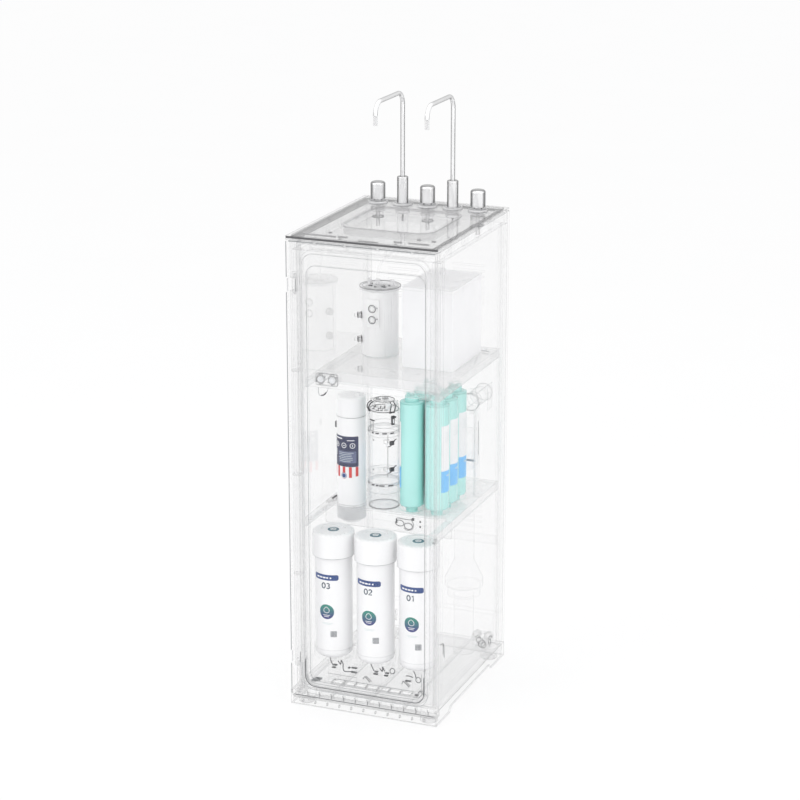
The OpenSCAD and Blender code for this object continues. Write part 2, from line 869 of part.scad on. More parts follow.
module switch_bezels() {
    color([0.6, 0.6, 0.62])
        for (x = switch_xs)
            difference() {
                union() {
                    bar_y(x, switch_z, fascia_y - switch_flange_t, fascia_y, switch_bezel_r);
                    bar_y(x, switch_z, fascia_y - switch_flange_t, shelf_floor_y + switch_back - seat,
                          switch_barrel_r);
                }
                bar_y(x, switch_z, fascia_y - switch_flange_t - over, fascia_y + rocker_depth,
                      rocker_r + rocker_gap);
            }
}

module switch_rocker(x) {
    color([0.85, 0.86, 0.88])
        translate([x, rocker_y, rocker_z])
            rotate([rocker_tilt, 0, 0])
                intersection() {
                    rotate([90, 0, 0])
                        cylinder(h = rocker_t, r = rocker_r, center = true);
                    union() {
                        cube([2 * rocker_r, rocker_t, rocker_r], center = true);
                        rotate([-rocker_tilt, 0, 0])
                            translate([-rocker_r, -rocker_t / 2, 0])
                                cube([2 * rocker_r, rocker_t, rocker_r]);
                        rotate([rocker_tilt, 0, 0])
                            translate([-rocker_r, -rocker_t / 2, -rocker_r])
                                cube([2 * rocker_r, rocker_t, rocker_r]);
                    }
                }
}

module switch_rocker_hot() {
    switch_rocker(switch_xs[0]);
}

module switch_rocker_cold() {
    switch_rocker(switch_xs[1]);
}

// Hinges: a knuckle in each notch of the stile, an arm back to a leaf on the front post.
leaf_t = 2;
leaf_overlap = 9;
leaf_gap = 0.6;
arm_gap = 1;
notch_gap = 1;
stile_seam_zs = [736, 512, 294];
hinge_zs = [upper_hinge_z, lower_hinge_z];
notch_hs = [upper_notch_h, lower_notch_h];

module hinge_brackets() {
    leaf_right = door_left + gasket_inset + gasket_w / 2 - leaf_gap;
    color([0.75, 0.76, 0.78])
        for (i = [0, 1]) {
            half = notch_hs[i] / 2 - notch_gap;
            low = hinge_zs[i] - half;
            high = hinge_zs[i] + half;
            difference() {
                union() {
                    rod(hinge_x, hinge_y, low, high, knuckle_r);
                    block([hinge_x - knuckle_r, hinge_y, low], [hinge_x - arm_gap, post_y, high]);
                    block([seat - skin_x, post_y - leaf_t, max(low - leaf_overlap, plinth_h)],
                          [leaf_right, post_y, high + leaf_overlap]);
                }
                rod(hinge_x, hinge_y, low - over, high + over, hinge_pin_r + pin_clearance);
            }
        }
}

module hinge_pins() {
    color([0.7, 0.71, 0.73])
        for (i = [0, 1])
            rod(hinge_x, hinge_y, hinge_zs[i] - notch_hs[i] / 2 - pin_reach,
                hinge_zs[i] + notch_hs[i] / 2 + pin_reach, hinge_pin_r);
}

// Door: frame, pane, liner, gasket and the segmented stile on the hinge side.
frame_wall = 3;
rail_rib_pitch = 27.3;
rail_rib_t = 1.6;
top_rib_pitch = 82;
liner_r = 20;
gasket_r = 4;
gasket_foot = (door_bottom + plinth_h) / 2 + gasket_w;

module rail_cells(z_low, z_high, pitch) {
    low = stile_right + frame_wall;
    high = door_right - frame_wall;
    count = floor((high - low) / pitch);
    margin = (high - low - count * pitch) / 2;
    for (i = [0:count - 1])
        block([low + margin + i * pitch, front_y + frame_wall, z_low],
              [low + margin + (i + 1) * pitch - rail_rib_t, front_y + door_front_t + over, z_high]);
}

module door_frame() {
    rebate_y = front_y + door_front_t - pane_t;
    color([0.95, 0.96, 0.97, 0.35])
        difference() {
            upright(front_y, front_y + door_front_t)
                translate([stile_right, door_bottom])
                    square([door_right - stile_right, door_top - door_bottom]);
            upright(front_y - over, front_y + door_front_t + over)
                rounded_rect([window_left, window_bottom], [window_right, window_top], window_r);
            upright(rebate_y, front_y + door_front_t + over)
                rounded_rect([window_left - pane_rebate, window_bottom - pane_rebate],
                             [window_right + pane_rebate, window_top + pane_rebate],
                             window_r + pane_rebate);
            rail_cells(door_bottom + frame_wall, window_bottom - pane_rebate - frame_wall,
                       rail_rib_pitch);
            rail_cells(window_top + pane_rebate + frame_wall, door_top - frame_wall, top_rib_pitch);
        }
}

module door_window() {
    grow = pane_rebate - seat;
    color([0.9, 0.93, 0.95, 0.2])
        upright(front_y + door_front_t - pane_t, front_y + door_front_t)
            rounded_rect([window_left - grow, window_bottom - grow],
                         [window_right + grow, window_top + grow], window_r + grow);
}

module door_liner() {
    color([0.93, 0.94, 0.95, 0.4])
        upright(front_y + door_front_t, door_back_y)
            difference() {
                translate([stile_right, door_bottom])
                    square([door_right - stile_right, door_top - door_bottom]);
                rounded_rect([window_left + liner_lip, window_bottom + liner_lip],
                             [window_right - liner_lip, window_top - liner_top_lip], liner_r);
            }
}

module gasket_outline(reach, r) {
    rounded_rect([door_left + gasket_inset + gasket_w - reach, gasket_foot - reach],
                 [door_right - gasket_inset + reach, door_top - gasket_inset + reach], r);
}

module door_gasket() {
    color([0.35, 0.36, 0.38])
        upright(door_back_y, post_y - gasket_gap)
            difference() {
                gasket_outline(gasket_w / 2, gasket_r);
                gasket_outline(-gasket_w / 2, gasket_r / 2);
            }
}

module stile_profile() {
    translate([hinge_x, hinge_y])
        circle(barrel_r);
    translate([hinge_x, hinge_y - barrel_r])
        square([stile_right - hinge_x, door_t]);
}

module door_hinge_stile() {
    color([0.9, 0.91, 0.92, 0.6])
        difference() {
            level(door_bottom, door_top)
                stile_profile();
            for (z = stile_seam_zs)
                block([door_left - over, front_y - over, z],
                      [stile_right + over, door_back_y + over, z + stile_seam]);
            for (i = [0, 1]) {
                block([door_left - over, front_y - over, hinge_zs[i] - notch_hs[i] / 2],
                      [hinge_x + notch_reach, door_back_y + over, hinge_zs[i] + notch_hs[i] / 2]);
                rod(hinge_x, hinge_y, hinge_zs[i] - notch_hs[i] / 2 - pin_reach - seat,
                    hinge_zs[i] + notch_hs[i] / 2 + pin_reach + seat,
                    hinge_pin_r + pin_clearance);
            }
        }
}

// Taps: rings, nuts, collars, shanks, valve bodies, spouts and knobs.
escutcheon_round = 2;
collar_round = 2;
shank_bore_r = 2.5;

module tap_escutcheons() {
    color([0.85, 0.86, 0.88, 0.6])
        for (x = tap_xs)
            difference() {
                translate([x, tap_y, cabinet_h])
                    turned(escutcheon_r, escutcheon_h, escutcheon_round, seat);
                rod(x, tap_y, cabinet_h - over, cabinet_h + escutcheon_h + over, shank_hole_r);
            }
}

module tap_nuts() {
    nut_z = bezel_z - tap_deck_t;
    color([0.88, 0.89, 0.9])
        for (x = tap_xs)
            difference() {
                translate([x, tap_y, nut_z - nut_h])
                    cylinder(h = nut_h, r = nut_r, $fn = 6);
                rod(x, tap_y, nut_z - nut_h - over, nut_z + over, shank_hole_r);
            }
}

module faucet_collars() {
    color([0.78, 0.79, 0.81])
        for (x = [hot_faucet_x, cold_faucet_x])
            difference() {
                translate([x, tap_y, cabinet_h])
                    turned(shank_r, collar_h, collar_round, seat);
                rod(x, tap_y, cabinet_h - over, cabinet_h + collar_h + over,
                    spout_r + pin_clearance);
            }
}

module faucet_shanks() {
    color([0.9, 0.91, 0.92, 0.5])
        for (x = [hot_faucet_x, cold_faucet_x])
            ring(x, tap_y, cabinet_h - faucet_shank_l, cabinet_h, shank_r, shank_bore_r);
}

module valve_bodies() {
    color([0.9, 0.91, 0.92, 0.5])
        for (x = knob_xs)
            ring(x, tap_y, cabinet_h - valve_l, cabinet_h + escutcheon_h, shank_r,
                 stem_r + pin_clearance);
}

module quarter_bend() {
    rotate([0, 90, 0])
        rotate_extrude(angle = 90)
            translate([spout_bend_r, 0])
                difference() {
                    circle(spout_r);
                    circle(spout_bore_r);
                }
}

// Spout: a tube up from its foot, over to the front and down to the tip.
module spout(x) {
    color([0.8, 0.81, 0.83])
        union() {
            ring(x, tap_y, cabinet_h + collar_h - spout_seat, tip_top_z, spout_r, spout_bore_r);
            translate([x, tap_y - spout_bend_r, tip_top_z])
                mirror([0, 0, 1])
                    quarter_bend();
            translate([x, tap_y - spout_bend_r, arm_z])
                rotate([90, 0, 0])
                    ring(0, 0, 0, spout_reach - 2 * spout_bend_r, spout_r, spout_bore_r);
            translate([x, tip_y + spout_bend_r, tip_top_z])
                mirror([0, 1, 0])
                    mirror([0, 0, 1])
                        quarter_bend();
        }
}

module spout_hot() {
    spout(hot_faucet_x);
}

module spout_cold() {
    spout(cold_faucet_x);
}

tip_wall = 1.1;

module spout_tip(x) {
    spigot_r = spout_bore_r - seat / 2;
    color([0.9, 0.93, 0.95, 0.4])
        difference() {
            union() {
                rod(x, tip_y, tip_top_z - tip_l, tip_top_z, spout_r);
                rod(x, tip_y, tip_top_z - over, tip_top_z + tip_spigot_l, spigot_r);
            }
            rod(x, tip_y, tip_top_z - tip_l - over, tip_top_z + tip_spigot_l + over,
                spigot_r - tip_wall);
        }
}

module spout_tip_hot() {
    spout_tip(hot_faucet_x);
}

module spout_tip_cold() {
    spout_tip(cold_faucet_x);
}

knob_hub_r = 9;
knob_groove_t = 1;
knob_foot_round = 1;

module knob(x) {
    color([0.78, 0.79, 0.81])
        difference() {
            union() {
                translate([x, tap_y, knob_z])
                    turned(knob_r, knob_h, knob_round, knob_foot_round);
                rod(x, tap_y, cabinet_h + escutcheon_h + seat, knob_z + over, knob_hub_r);
                rod(x, tap_y, cabinet_h - stem_l, knob_z + over, stem_r);
            }
            ring(x, tap_y, knob_z + knob_groove_t * 3, knob_z + knob_groove_t * 4,
                 knob_r + over, knob_r - knob_groove_t / 2);
        }
}

module knob_left() {
    knob(knob_xs[0]);
}

module knob_middle() {
    knob(knob_xs[1]);
}

module knob_right() {
    knob(knob_xs[2]);
}

// Hot tank on the upper shelf
hot_foot_round = 4;
port_angle = 30;
port_shares = [0.577, 0.2215];
port_zs = [for (share = port_shares) upper_shelf_z + share * hot_h];
port_flange_r = 6.5;
port_flange_l = 5;
port_stub_r = 3.5;
port_stub_l = 16;
thermostat_shares = [0.725, 0.564];
thermostat_zs = [for (share = thermostat_shares) upper_shelf_z + share * hot_h];
thermostat_l = 6;
thermostat_plate_w = 28;
thermostat_plate_shares = [0.443, 0.852];
thermostat_plate_low = upper_shelf_z + thermostat_plate_shares[0] * hot_h;
thermostat_plate_high = upper_shelf_z + thermostat_plate_shares[1] * hot_h;
thermostat_plate_t = 1.5;
lid_port_r = 5;
lid_port_h = 13;
lid_port_offset = 5;
lid_port_x = hot_x - lid_port_offset;
lid_port_spread = 26;
lid_boss_r = 12;
lid_boss_h = 3;

module hot_tank_shell() {
    color([0.78, 0.78, 0.79])
        translate([hot_x, hot_y, upper_shelf_z])
            difference() {
                turned(hot_r, hot_h - hot_lid_t, seat, hot_foot_round);
                translate([0, 0, hot_wall])
                    turned(hot_r - hot_wall, hot_h, seat, hot_foot_round - hot_wall);
            }
}

module hot_tank_lid() {
    color([0.4, 0.4, 0.42])
        union() {
            translate([hot_x, hot_y, hot_lid_z])
                turned(hot_lid_r, hot_lid_t, seat * 4, seat * 4);
            rod(hot_x, hot_y, hot_lid_z, hot_lid_z + hot_lid_t + lid_boss_h, lid_boss_r);
            rod(lid_port_x, hot_y, hot_lid_z, hot_lid_z + hot_lid_t + lid_port_h, lid_port_r);
            for (side = [-1, 1])
                rod(hot_x + side * lid_port_spread, hot_y + lid_port_r, hot_lid_z,
                    hot_lid_z + hot_lid_t + lid_port_h, lid_port_r);
        }
}

module hot_tank_ports() {
    color([0.45, 0.45, 0.47])
        for (z = port_zs)
            translate([hot_x, hot_y, z])
                rotate([90, 0, port_angle - 90])
                    translate([0, 0, hot_r + seat]) {
                        cylinder(h = port_flange_l, r = port_flange_r);
                        cylinder(h = port_stub_l, r = port_stub_r);
                    }
}

module hot_tank_thermostats() {
    face_y = hot_y - hot_r - seat;
    color([0.5, 0.5, 0.52])
        union() {
            block([hot_x - thermostat_plate_w / 2, face_y - thermostat_plate_t, thermostat_plate_low],
                  [hot_x + thermostat_plate_w / 2, face_y, thermostat_plate_high]);
            for (z = thermostat_zs)
                bar_y(hot_x, z, face_y - thermostat_l, face_y, thermostat_r);
        }
}

// Cold tank: insulated jacket with its lid, and the tank inside it.
cold_round = 4;
cold_inner_round = 12;
cold_inner_wall = 2;
cold_foot_h = 8;
cold_port_r = 5;
cold_port_h = 13;
cold_port_inset = 40;
cold_port_x = cold_left + cold_port_inset;
cold_port_y = cold_rear - cold_port_inset;

module cold_tank_jacket() {
    color([0.97, 0.97, 0.98, 0.8])
        difference() {
            level(upper_shelf_z, cold_lid_z)
                rounded_rect([cold_left, cold_front], [cold_right, cold_rear], cold_round);
            level(upper_shelf_z + cold_wall, cold_lid_z + over)
                rounded_rect([cold_left + cold_wall, cold_front + cold_wall],
                             [cold_right - cold_wall, cold_rear - cold_wall], cold_round);
        }
}

module cold_tank_lid() {
    color([0.85, 0.86, 0.87, 0.8])
        union() {
            level(cold_lid_z, cold_lid_z + cold_lid_t)
                rounded_rect([cold_left, cold_front], [cold_right, cold_rear], cold_round);
            rod(cold_port_x, cold_port_y, cold_lid_z, cold_lid_z + cold_lid_t + cold_port_h,
                cold_port_r);
        }
}

module cold_tank_inner() {
    low = [cold_left + cold_wall + seat, cold_front + cold_wall + seat];
    high = [cold_right - cold_wall - seat, cold_front + cold_wall + seat + cold_inner_d];
    wall = [cold_inner_wall, cold_inner_wall];
    color([0.92, 0.93, 0.94, 0.8])
        difference() {
            level(upper_shelf_z + cold_wall, cold_lid_z - seat)
                rounded_rect(low, high, cold_inner_round);
            level(upper_shelf_z + cold_wall + cold_foot_h, cold_lid_z)
                rounded_rect(low + wall, high - wall, cold_inner_round - cold_inner_wall);
        }
}

// Membrane housing, which stands through the lower shelf, and its screw-on head.
membrane_round = 5;
membrane_seam = 0.8;
membrane_foot_h = 8;
membrane_foot_r = 20;
membrane_port_r = 6;

module membrane_housing() {
    foot = lower_shelf_z - membrane_drop;
    top = lower_shelf_z + membrane_top - membrane_head_h - membrane_seam;
    color([0.96, 0.96, 0.97])
        union() {
            translate([membrane_x, membrane_y, foot])
                turned(membrane_r, top - foot, seat, membrane_round);
            rod(membrane_x, membrane_y, foot - membrane_foot_h, foot + over, membrane_foot_r);
        }
}

module membrane_head() {
    low = lower_shelf_z + membrane_top - membrane_head_h;
    color([0.96, 0.96, 0.97])
        union() {
            translate([membrane_x, membrane_y, low])
                turned(membrane_r, membrane_head_h, membrane_round, seat);
            rod(membrane_x, membrane_y, low - membrane_seam, low + over,
                membrane_r - membrane_round);
            rod(membrane_x + membrane_r / 2, membrane_y, low, low + membrane_head_h + membrane_port_r,
                membrane_port_r);
        }
}

// Buffer tank: a clear cylinder with straps, latches and a cap.
buffer_wall = 2;
buffer_rim_gap = 1.5;
buffer_rim_r = buffer_r - buffer_rim_gap;
strap_t = 1;
strap_h = 3;
strap_shares = [0.25, 0.79];
latch_w = 9;
latch_h = 8;
latch_x = 17;
latch_shares = [0.41, 0.69];
cap_wing_w = 60;
cap_wing_t = 9;
cap_wing_h = 9;

module buffer_tank() {
    color([0.93, 0.94, 0.95, 0.4])
        translate([buffer_x, buffer_y, lower_shelf_z])
            union() {
                difference() {
                    cylinder(h = buffer_h, r = buffer_r);
                    translate([0, 0, buffer_wall])
                        cylinder(h = buffer_h, r = buffer_r - buffer_wall);
                }
                for (share = strap_shares)
                    ring(0, 0, share * buffer_h, share * buffer_h + strap_h, buffer_r + strap_t,
                         buffer_r - buffer_wall);
                for (share = latch_shares)
                    difference() {
                        block([latch_x - latch_w / 2, -buffer_r - strap_t, share * buffer_h],
                              [latch_x + latch_w / 2, -buffer_r / 2, share * buffer_h + latch_h]);
                        rod(0, 0, 0, buffer_h, buffer_r - buffer_wall);
                    }
            }
}

module buffer_tank_cap() {
    cap_z = lower_shelf_z + buffer_h;
    color([0.6, 0.61, 0.63, 0.7])
        union() {
            translate([buffer_x, buffer_y, cap_z])
                turned(buffer_rim_r, buffer_cap_h / 2, seat * 4, seat);
            rod(buffer_x, buffer_y, cap_z, cap_z + buffer_cap_h, buffer_rim_r * 2 / 3);
            translate([buffer_x, buffer_y, cap_z + buffer_cap_h - cap_wing_h / 2])
                cube([cap_wing_w, cap_wing_t, cap_wing_h], center = true);
        }
}

// Six mineral filters in two columns, each with a neck, a head and two elbows.
mineral_round = 6;
mineral_head_r = 15;
mineral_head_h = 9;
elbow_r = 4.5;
elbow_l = 12;
elbow_offset = 8;

module mineral_filter() {
    translate([0, 0, mineral_neck_h])
        turned(mineral_r, mineral_h - mineral_neck_h, mineral_round, mineral_round);
    rod(0, 0, 0, mineral_neck_h + over, mineral_neck_r);
    rod(0, 0, mineral_h - over, mineral_h + mineral_head_h, mineral_head_r);
    for (side = [-1, 1])
        rod(side * elbow_offset, 0, mineral_h, mineral_h + mineral_head_h + elbow_l / 2, elbow_r);
}

module mineral_filters() {
    color([0.35, 0.85, 0.78])
        for (x = [mineral_left_x, mineral_right_x])
            for (row = [0:2])
                translate([x, mineral_front_y + row * mineral_pitch_y, lower_shelf_z])
                    mineral_filter();
}

// Rack behind the mineral filters, with the upright flange beside them.
rack_lift = 10;
rack_h = 200;
rack_low = lower_shelf_z + rack_lift;
rack_high = lower_shelf_z + rack_h;
rack_side = 30;
rack_foot_d = 25;

module filter_rack() {
    left = mineral_left_x - mineral_r;
    color([0.94, 0.95, 0.96, 0.7])
        union() {
            block([left, rack_y, lower_shelf_z], [shelf_x, rack_y + rack_t, rack_high]);
            block([shelf_x - rack_t, rack_y - rack_side, rack_low], [shelf_x, rack_y + rack_t, rack_high]);
            block([left, rack_y, lower_shelf_z], [shelf_x, rack_y + rack_foot_d, lower_shelf_z + rack_t]);
        }
}

// Booster pump on its bracket, behind the rack at the right liner.
pump_side = 6;
pump_gap = 1;
pump_x = inside_x - pump_side - pump_r;
pump_y = rack_y + rack_t + pump_gap;
pump_l = shelf_back_y - pump_back - pump_y;
pump_z = lower_shelf_z + pump_up;
pump_head_share = 0.3;
pump_head_l = pump_head_share * pump_l;
pump_neck_l = 3;
pump_round = 3;
pump_port_r = 5;
pump_port_l = 9;
band_w = 14;
band_t = 1.6;

module booster_pump() {
    color([0.75, 0.76, 0.78])
        translate([pump_x, pump_y, pump_z])
            rotate([-90, 0, 0])
                union() {
                    turned(pump_r, pump_head_l, pump_round, pump_round);
                    cylinder(h = pump_l - pump_round, r = pump_r - pump_neck_l);
                    translate([0, 0, pump_head_l + pump_neck_l])
                        turned(pump_r - band_t, pump_l - pump_head_l - pump_neck_l, pump_round, seat);
                    for (side = [0, 180])
                        rotate([0, 90, 90 + side])
                            translate([-pump_head_l / 2, 0, 0])
                                cylinder(h = pump_r + pump_port_l, r = pump_port_r);
                }
}

module pump_bracket() {
    middle = pump_y + (pump_head_l + pump_neck_l + pump_l) / 2;
    inner = pump_r - band_t + seat;
    color([0.9, 0.91, 0.92])
        difference() {
            union() {
                bar_y(pump_x, pump_z, middle - band_w / 2, middle + band_w / 2, inner + band_t);
                block([pump_x, middle - band_w / 2, pump_z - band_w / 2],
                      [inside_x - band_t, middle + band_w / 2, pump_z + band_w / 2]);
                block([inside_x - band_t - seat, middle - band_w, pump_z - band_w * 2],
                      [inside_x - seat, middle + band_w, pump_z + band_w * 2]);
            }
            bar_y(pump_x, pump_z, middle - band_w, middle + band_w, inner);
        }
}

// Control box on the back of the rack
control_round = 4;
control_up = 48;
control_side = 17.4;
control_low = rack_low + control_up;
control_right = inside_x - control_side;

module control_box() {
    color([0.88, 0.89, 0.9, 0.8])
        upright(rack_y + rack_t, rack_y + rack_t + control_d)
            rounded_rect([control_right - control_w, control_low],
                         [control_right, control_low + control_h], control_round);
}

// Three prefilters: bodies with ribbed caps, standing in heads on the deck.
prefilter_round = 12;
cap_round = 8;
cap_dish_r = 26;
cap_dish_h = 1.5;
cap_rib_count = 24;
cap_rib_w = 2;
cap_rib_h = 3;
cap_seam = 0.8;
cap_z = prefilter_z + prefilter_h - prefilter_cap_h;

module prefilter_bodies() {
    color([0.97, 0.97, 0.98])
        for (x = prefilter_xs)
            translate([x, prefilter_y, prefilter_z])
                turned(prefilter_r, prefilter_h - prefilter_cap_h - cap_seam, seat, prefilter_round);
}

module prefilter_caps() {
    color([0.97, 0.97, 0.98])
        for (x = prefilter_xs)
            translate([x, prefilter_y, cap_z])
                difference() {
                    union() {
                        turned(prefilter_cap_r, prefilter_cap_h, cap_round, cap_seam);
                        translate([0, 0, -cap_seam])
                            cylinder(h = cap_seam + over, r = prefilter_r - cap_round);
                    }
                    translate([0, 0, prefilter_cap_h - cap_dish_h])
                        cylinder(h = cap_dish_h + over, r = cap_dish_r);
                    for (i = [0:cap_rib_count - 1])
                        rotate([0, 0, i * 360 / cap_rib_count])
                            translate([prefilter_cap_r - cap_round, -cap_rib_w / 2,
                                       prefilter_cap_h - cap_rib_h / 2])
                                cube([cap_round, cap_rib_w, cap_rib_h]);
                }
}

head_cup_h = 22;
head_wall = 2.5;
head_column_r = 13;
head_foot_r = 22;
head_foot_t = 4;
head_elbow_r = 5;
head_elbow_l = 20;
head_elbow_drop = 16;
head_elbow_places = [[2, 26], [27, 6]];

module prefilter_heads() {
    cup_z = prefilter_z - head_wall - seat;
    color([0.92, 0.93, 0.94, 0.5])
        for (x = prefilter_xs)
            translate([x, prefilter_y, 0])
                union() {
                    difference() {
                        rod(0, 0, cup_z, cup_z + head_cup_h, prefilter_r + seat + head_wall);
                        translate([0, 0, cup_z + head_wall])
                            turned(prefilter_r + seat, head_cup_h + prefilter_round, seat,
                                   prefilter_round);
                    }
                    rod(0, 0, plinth_h, cup_z + seat, head_column_r);
                    rod(0, 0, plinth_h, plinth_h + head_foot_t, head_foot_r);
                    for (place = head_elbow_places) {
                        rod(place[0], place[1], cup_z - head_elbow_drop, cup_z + seat, head_elbow_r);
                        translate([place[0], place[1], cup_z - head_elbow_drop])
                            sphere(head_elbow_r);
                        bar_y(place[0], cup_z - head_elbow_drop, place[1], place[1] + head_elbow_l,
                              head_elbow_r);
                    }
                }
}

// Accumulator standing behind the prefilters
accumulator_x = inside_x - accumulator_side;
accumulator_y = panel_y - accumulator_back;
belly_shares = [0.42, 0.49, 0.54, 0.67];
belly_step = 6;
belly_foot_r = belly_r - belly_step;

module accumulator() {
    low = belly_shares * accumulator_h;
    color([0.95, 0.96, 0.97, 0.6])
        translate([accumulator_x, accumulator_y, plinth_h])
            rotate_extrude()
                polygon([
                    [0, 0], [column_r + over, 0], [column_r, over], [column_r, low[0]],
                    [belly_foot_r, low[0]], [belly_foot_r, low[1]], [belly_r, low[1]],
                    [belly_r, low[2]], [column_r, low[3]], [column_r, accumulator_h - over],
                    [column_r - over, accumulator_h], [0, accumulator_h]
                ]);
}

// Inlet valve on the deck, water fittings and mains inlet in the back panel
valve_w = 24;
valve_d = 30;
valve_h = 22;
coil_r = 9;
coil_h = 16;
fitting_out = 14;
fitting_in = 14;
fitting_flange_r = 10;
fitting_flange_t = 3;
valve_side = 14;
valve_x = inside_x - valve_side;
valve_y = bay_y - skin_t - fitting_in - seat - valve_d / 2;

module inlet_valve() {
    color([0.55, 0.56, 0.6])
        union() {
            block([valve_x - valve_w / 2, valve_y - valve_d / 2, plinth_h],
                  [valve_x + valve_w / 2, valve_y + valve_d / 2, plinth_h + valve_h / 2]);
            rod(valve_x, valve_y, plinth_h, plinth_h + valve_h + coil_h, coil_r);
        }
}

module water_fittings() {
    inner_y = bay_y - skin_t - fitting_in;
    color([0.85, 0.86, 0.88])
        for (x = fitting_xs)
            difference() {
                union() {
                    bar_y(x, fitting_z, inner_y, bay_y + fitting_out, fitting_r);
                    bar_y(x, fitting_z, bay_y, bay_y + fitting_flange_t, fitting_flange_r);
                }
                bar_y(x, fitting_z, inner_y - over, bay_y + fitting_out + over, port_r);
            }
}

inlet_flange = 3;
inlet_flange_t = 2;
inlet_depth = 20;
inlet_wall = 2;
blade_w = 2;
blade_h = 6;
blade_pitch = 7;

module power_inlet() {
    half = [inlet_w / 2, 0, inlet_h / 2];
    flange = [inlet_flange, 0, inlet_flange];
    wall = [inlet_wall, 0, inlet_wall];
    deep = [inlet_x, bay_y - inlet_depth, inlet_z];
    face = [inlet_x, bay_y, inlet_z];
    color([0.3, 0.3, 0.32])
        difference() {
            union() {
                block(deep - half, face + half);
                block(face - half - flange, face + half + flange + [0, inlet_flange_t, 0]);
            }
            difference() {
                block(deep - half + wall + [0, inlet_wall, 0],
                      face + half - wall + [0, inlet_flange_t + over, 0]);
                for (i = [-1:1])
                    block([inlet_x + i * blade_pitch - blade_w / 2, bay_y - inlet_depth,
                           inlet_z - blade_h / 2],
                          [inlet_x + i * blade_pitch + blade_w / 2, bay_y - inlet_wall,
                           inlet_z + blade_h / 2]);
            }
        }
}

// Water tubes from the tanks' lids to the faucet shanks, swept along their routes.
tube_sides = 10;
route_shares = [
    [0, 0, 0], [0, 0, 0.12], [0, 0.06, 0.26], [0.08, 0.19, 0.4], [0.27, 0.4, 0.51],
    [0.55, 0.67, 0.6], [0.82, 0.9, 0.72], [1, 1, 0.86], [1, 1, 1]
];
hot_route = route([lid_port_x, hot_y, hot_lid_z + hot_lid_t + lid_port_h], hot_faucet_x);
cold_route = route([cold_port_x, cold_port_y, cold_lid_z + cold_lid_t + cold_port_h],
                   cold_faucet_x);

function route(start, faucet_x) =
    let (way = [faucet_x, tap_y, cabinet_h - faucet_shank_l] - start)
    [for (share = route_shares)
        start + [share[0] * way[0], share[1] * way[1], share[2] * way[2]]];
function unit(v) = v / norm(v);
function last(list) = len(list) - 1;
function heading(route, i) = i == 0 || i == last(route)
    ? [0, 0, 1]
    : unit(route[i + 1] - route[i - 1]);
function ring_points(middle, along, r) =
    let (side = unit(cross(along, [1, 0, 0])), up = cross(side, along))
    [for (k = [0:tube_sides - 1])
        middle + r * (cos(k * 360 / tube_sides) * side + sin(k * 360 / tube_sides) * up)];

module swept_tube(route, r) {
    rings = len(route);
    points = [for (i = [0:rings - 1]) each ring_points(route[i], heading(route, i), r)];
    walls = [for (i = [0:rings - 2]) for (k = [0:tube_sides - 1])
        let (a = i * tube_sides + k, b = i * tube_sides + (k + 1) % tube_sides)
        each [[a, b, b + tube_sides], [a, b + tube_sides, a + tube_sides]]];
    foot = [for (k = [1:tube_sides - 2]) [0, k + 1, k]];
    top_start = (rings - 1) * tube_sides;
    top = [for (k = [1:tube_sides - 2]) [top_start, top_start + k, top_start + k + 1]];
    polyhedron(points = points, faces = concat(walls, foot, top));
}

module outlet_tubes() {
    color([0.95, 0.95, 0.96]) {
        swept_tube(hot_route, tube_r);
        swept_tube(cold_route, tube_r);
    }
}

base_pan();
foot_pads();
side_panel_left();
side_panel_right();
back_panel();
side_liners();
top_frame();
top_bezel();
top_glass();
drip_tray();
shelf_upper();
shelf_fascia();
shelf_lower();
rear_crossbar();
switch_bezels();
switch_rocker_hot();
switch_rocker_cold();
hinge_brackets();
hinge_pins();
door_frame();
door_liner();
door_window();
door_gasket();
door_hinge_stile();
tap_escutcheons();
tap_nuts();
faucet_collars();
faucet_shanks();
spout_hot();
spout_cold();
spout_tip_hot();
spout_tip_cold();
knob_left();
knob_middle();
knob_right();
valve_bodies();
hot_tank_shell();
hot_tank_lid();
hot_tank_ports();
hot_tank_thermostats();
cold_tank_jacket();
cold_tank_lid();
cold_tank_inner();
membrane_housing();
membrane_head();
buffer_tank();
buffer_tank_cap();
mineral_filters();
filter_rack();
booster_pump();
pump_bracket();
control_box();
prefilter_bodies();
prefilter_caps();
prefilter_heads();
accumulator();
inlet_valve();
water_fittings();
power_inlet();
outlet_tubes();
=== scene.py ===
import math

import bmesh
import bpy
from mathutils import Matrix, Vector
from mathutils.bvhtree import BVHTree


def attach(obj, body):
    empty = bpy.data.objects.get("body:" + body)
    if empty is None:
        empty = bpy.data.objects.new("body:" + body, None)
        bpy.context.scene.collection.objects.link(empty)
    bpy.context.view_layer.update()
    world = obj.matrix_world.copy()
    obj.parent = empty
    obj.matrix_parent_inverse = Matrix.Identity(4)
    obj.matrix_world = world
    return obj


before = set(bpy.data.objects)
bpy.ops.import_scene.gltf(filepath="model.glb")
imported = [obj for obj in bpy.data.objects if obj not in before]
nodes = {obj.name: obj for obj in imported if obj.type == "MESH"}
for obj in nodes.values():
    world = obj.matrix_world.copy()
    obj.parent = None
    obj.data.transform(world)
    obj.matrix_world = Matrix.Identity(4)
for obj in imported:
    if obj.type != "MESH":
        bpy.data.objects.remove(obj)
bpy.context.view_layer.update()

scene = bpy.context.scene
MM = 0.001

# Camera
cam_data = bpy.data.cameras.new("camera")
cam_data.lens = 110.1
cam_data.sensor_width = 36
cam_data.clip_end = 50
cam = bpy.data.objects.new("camera", cam_data)
scene.collection.objects.link(cam)
cam.location = (1.8397, -4.5535, 2.1346)
aim = Vector((0, 0, 0.6331)) - cam.location
cam.rotation_euler = aim.to_track_quat("-Z", "Y").to_euler()
scene.camera = cam
scene.cycles.transparent_max_bounces = 48
scene.view_settings.view_transform = "Standard"


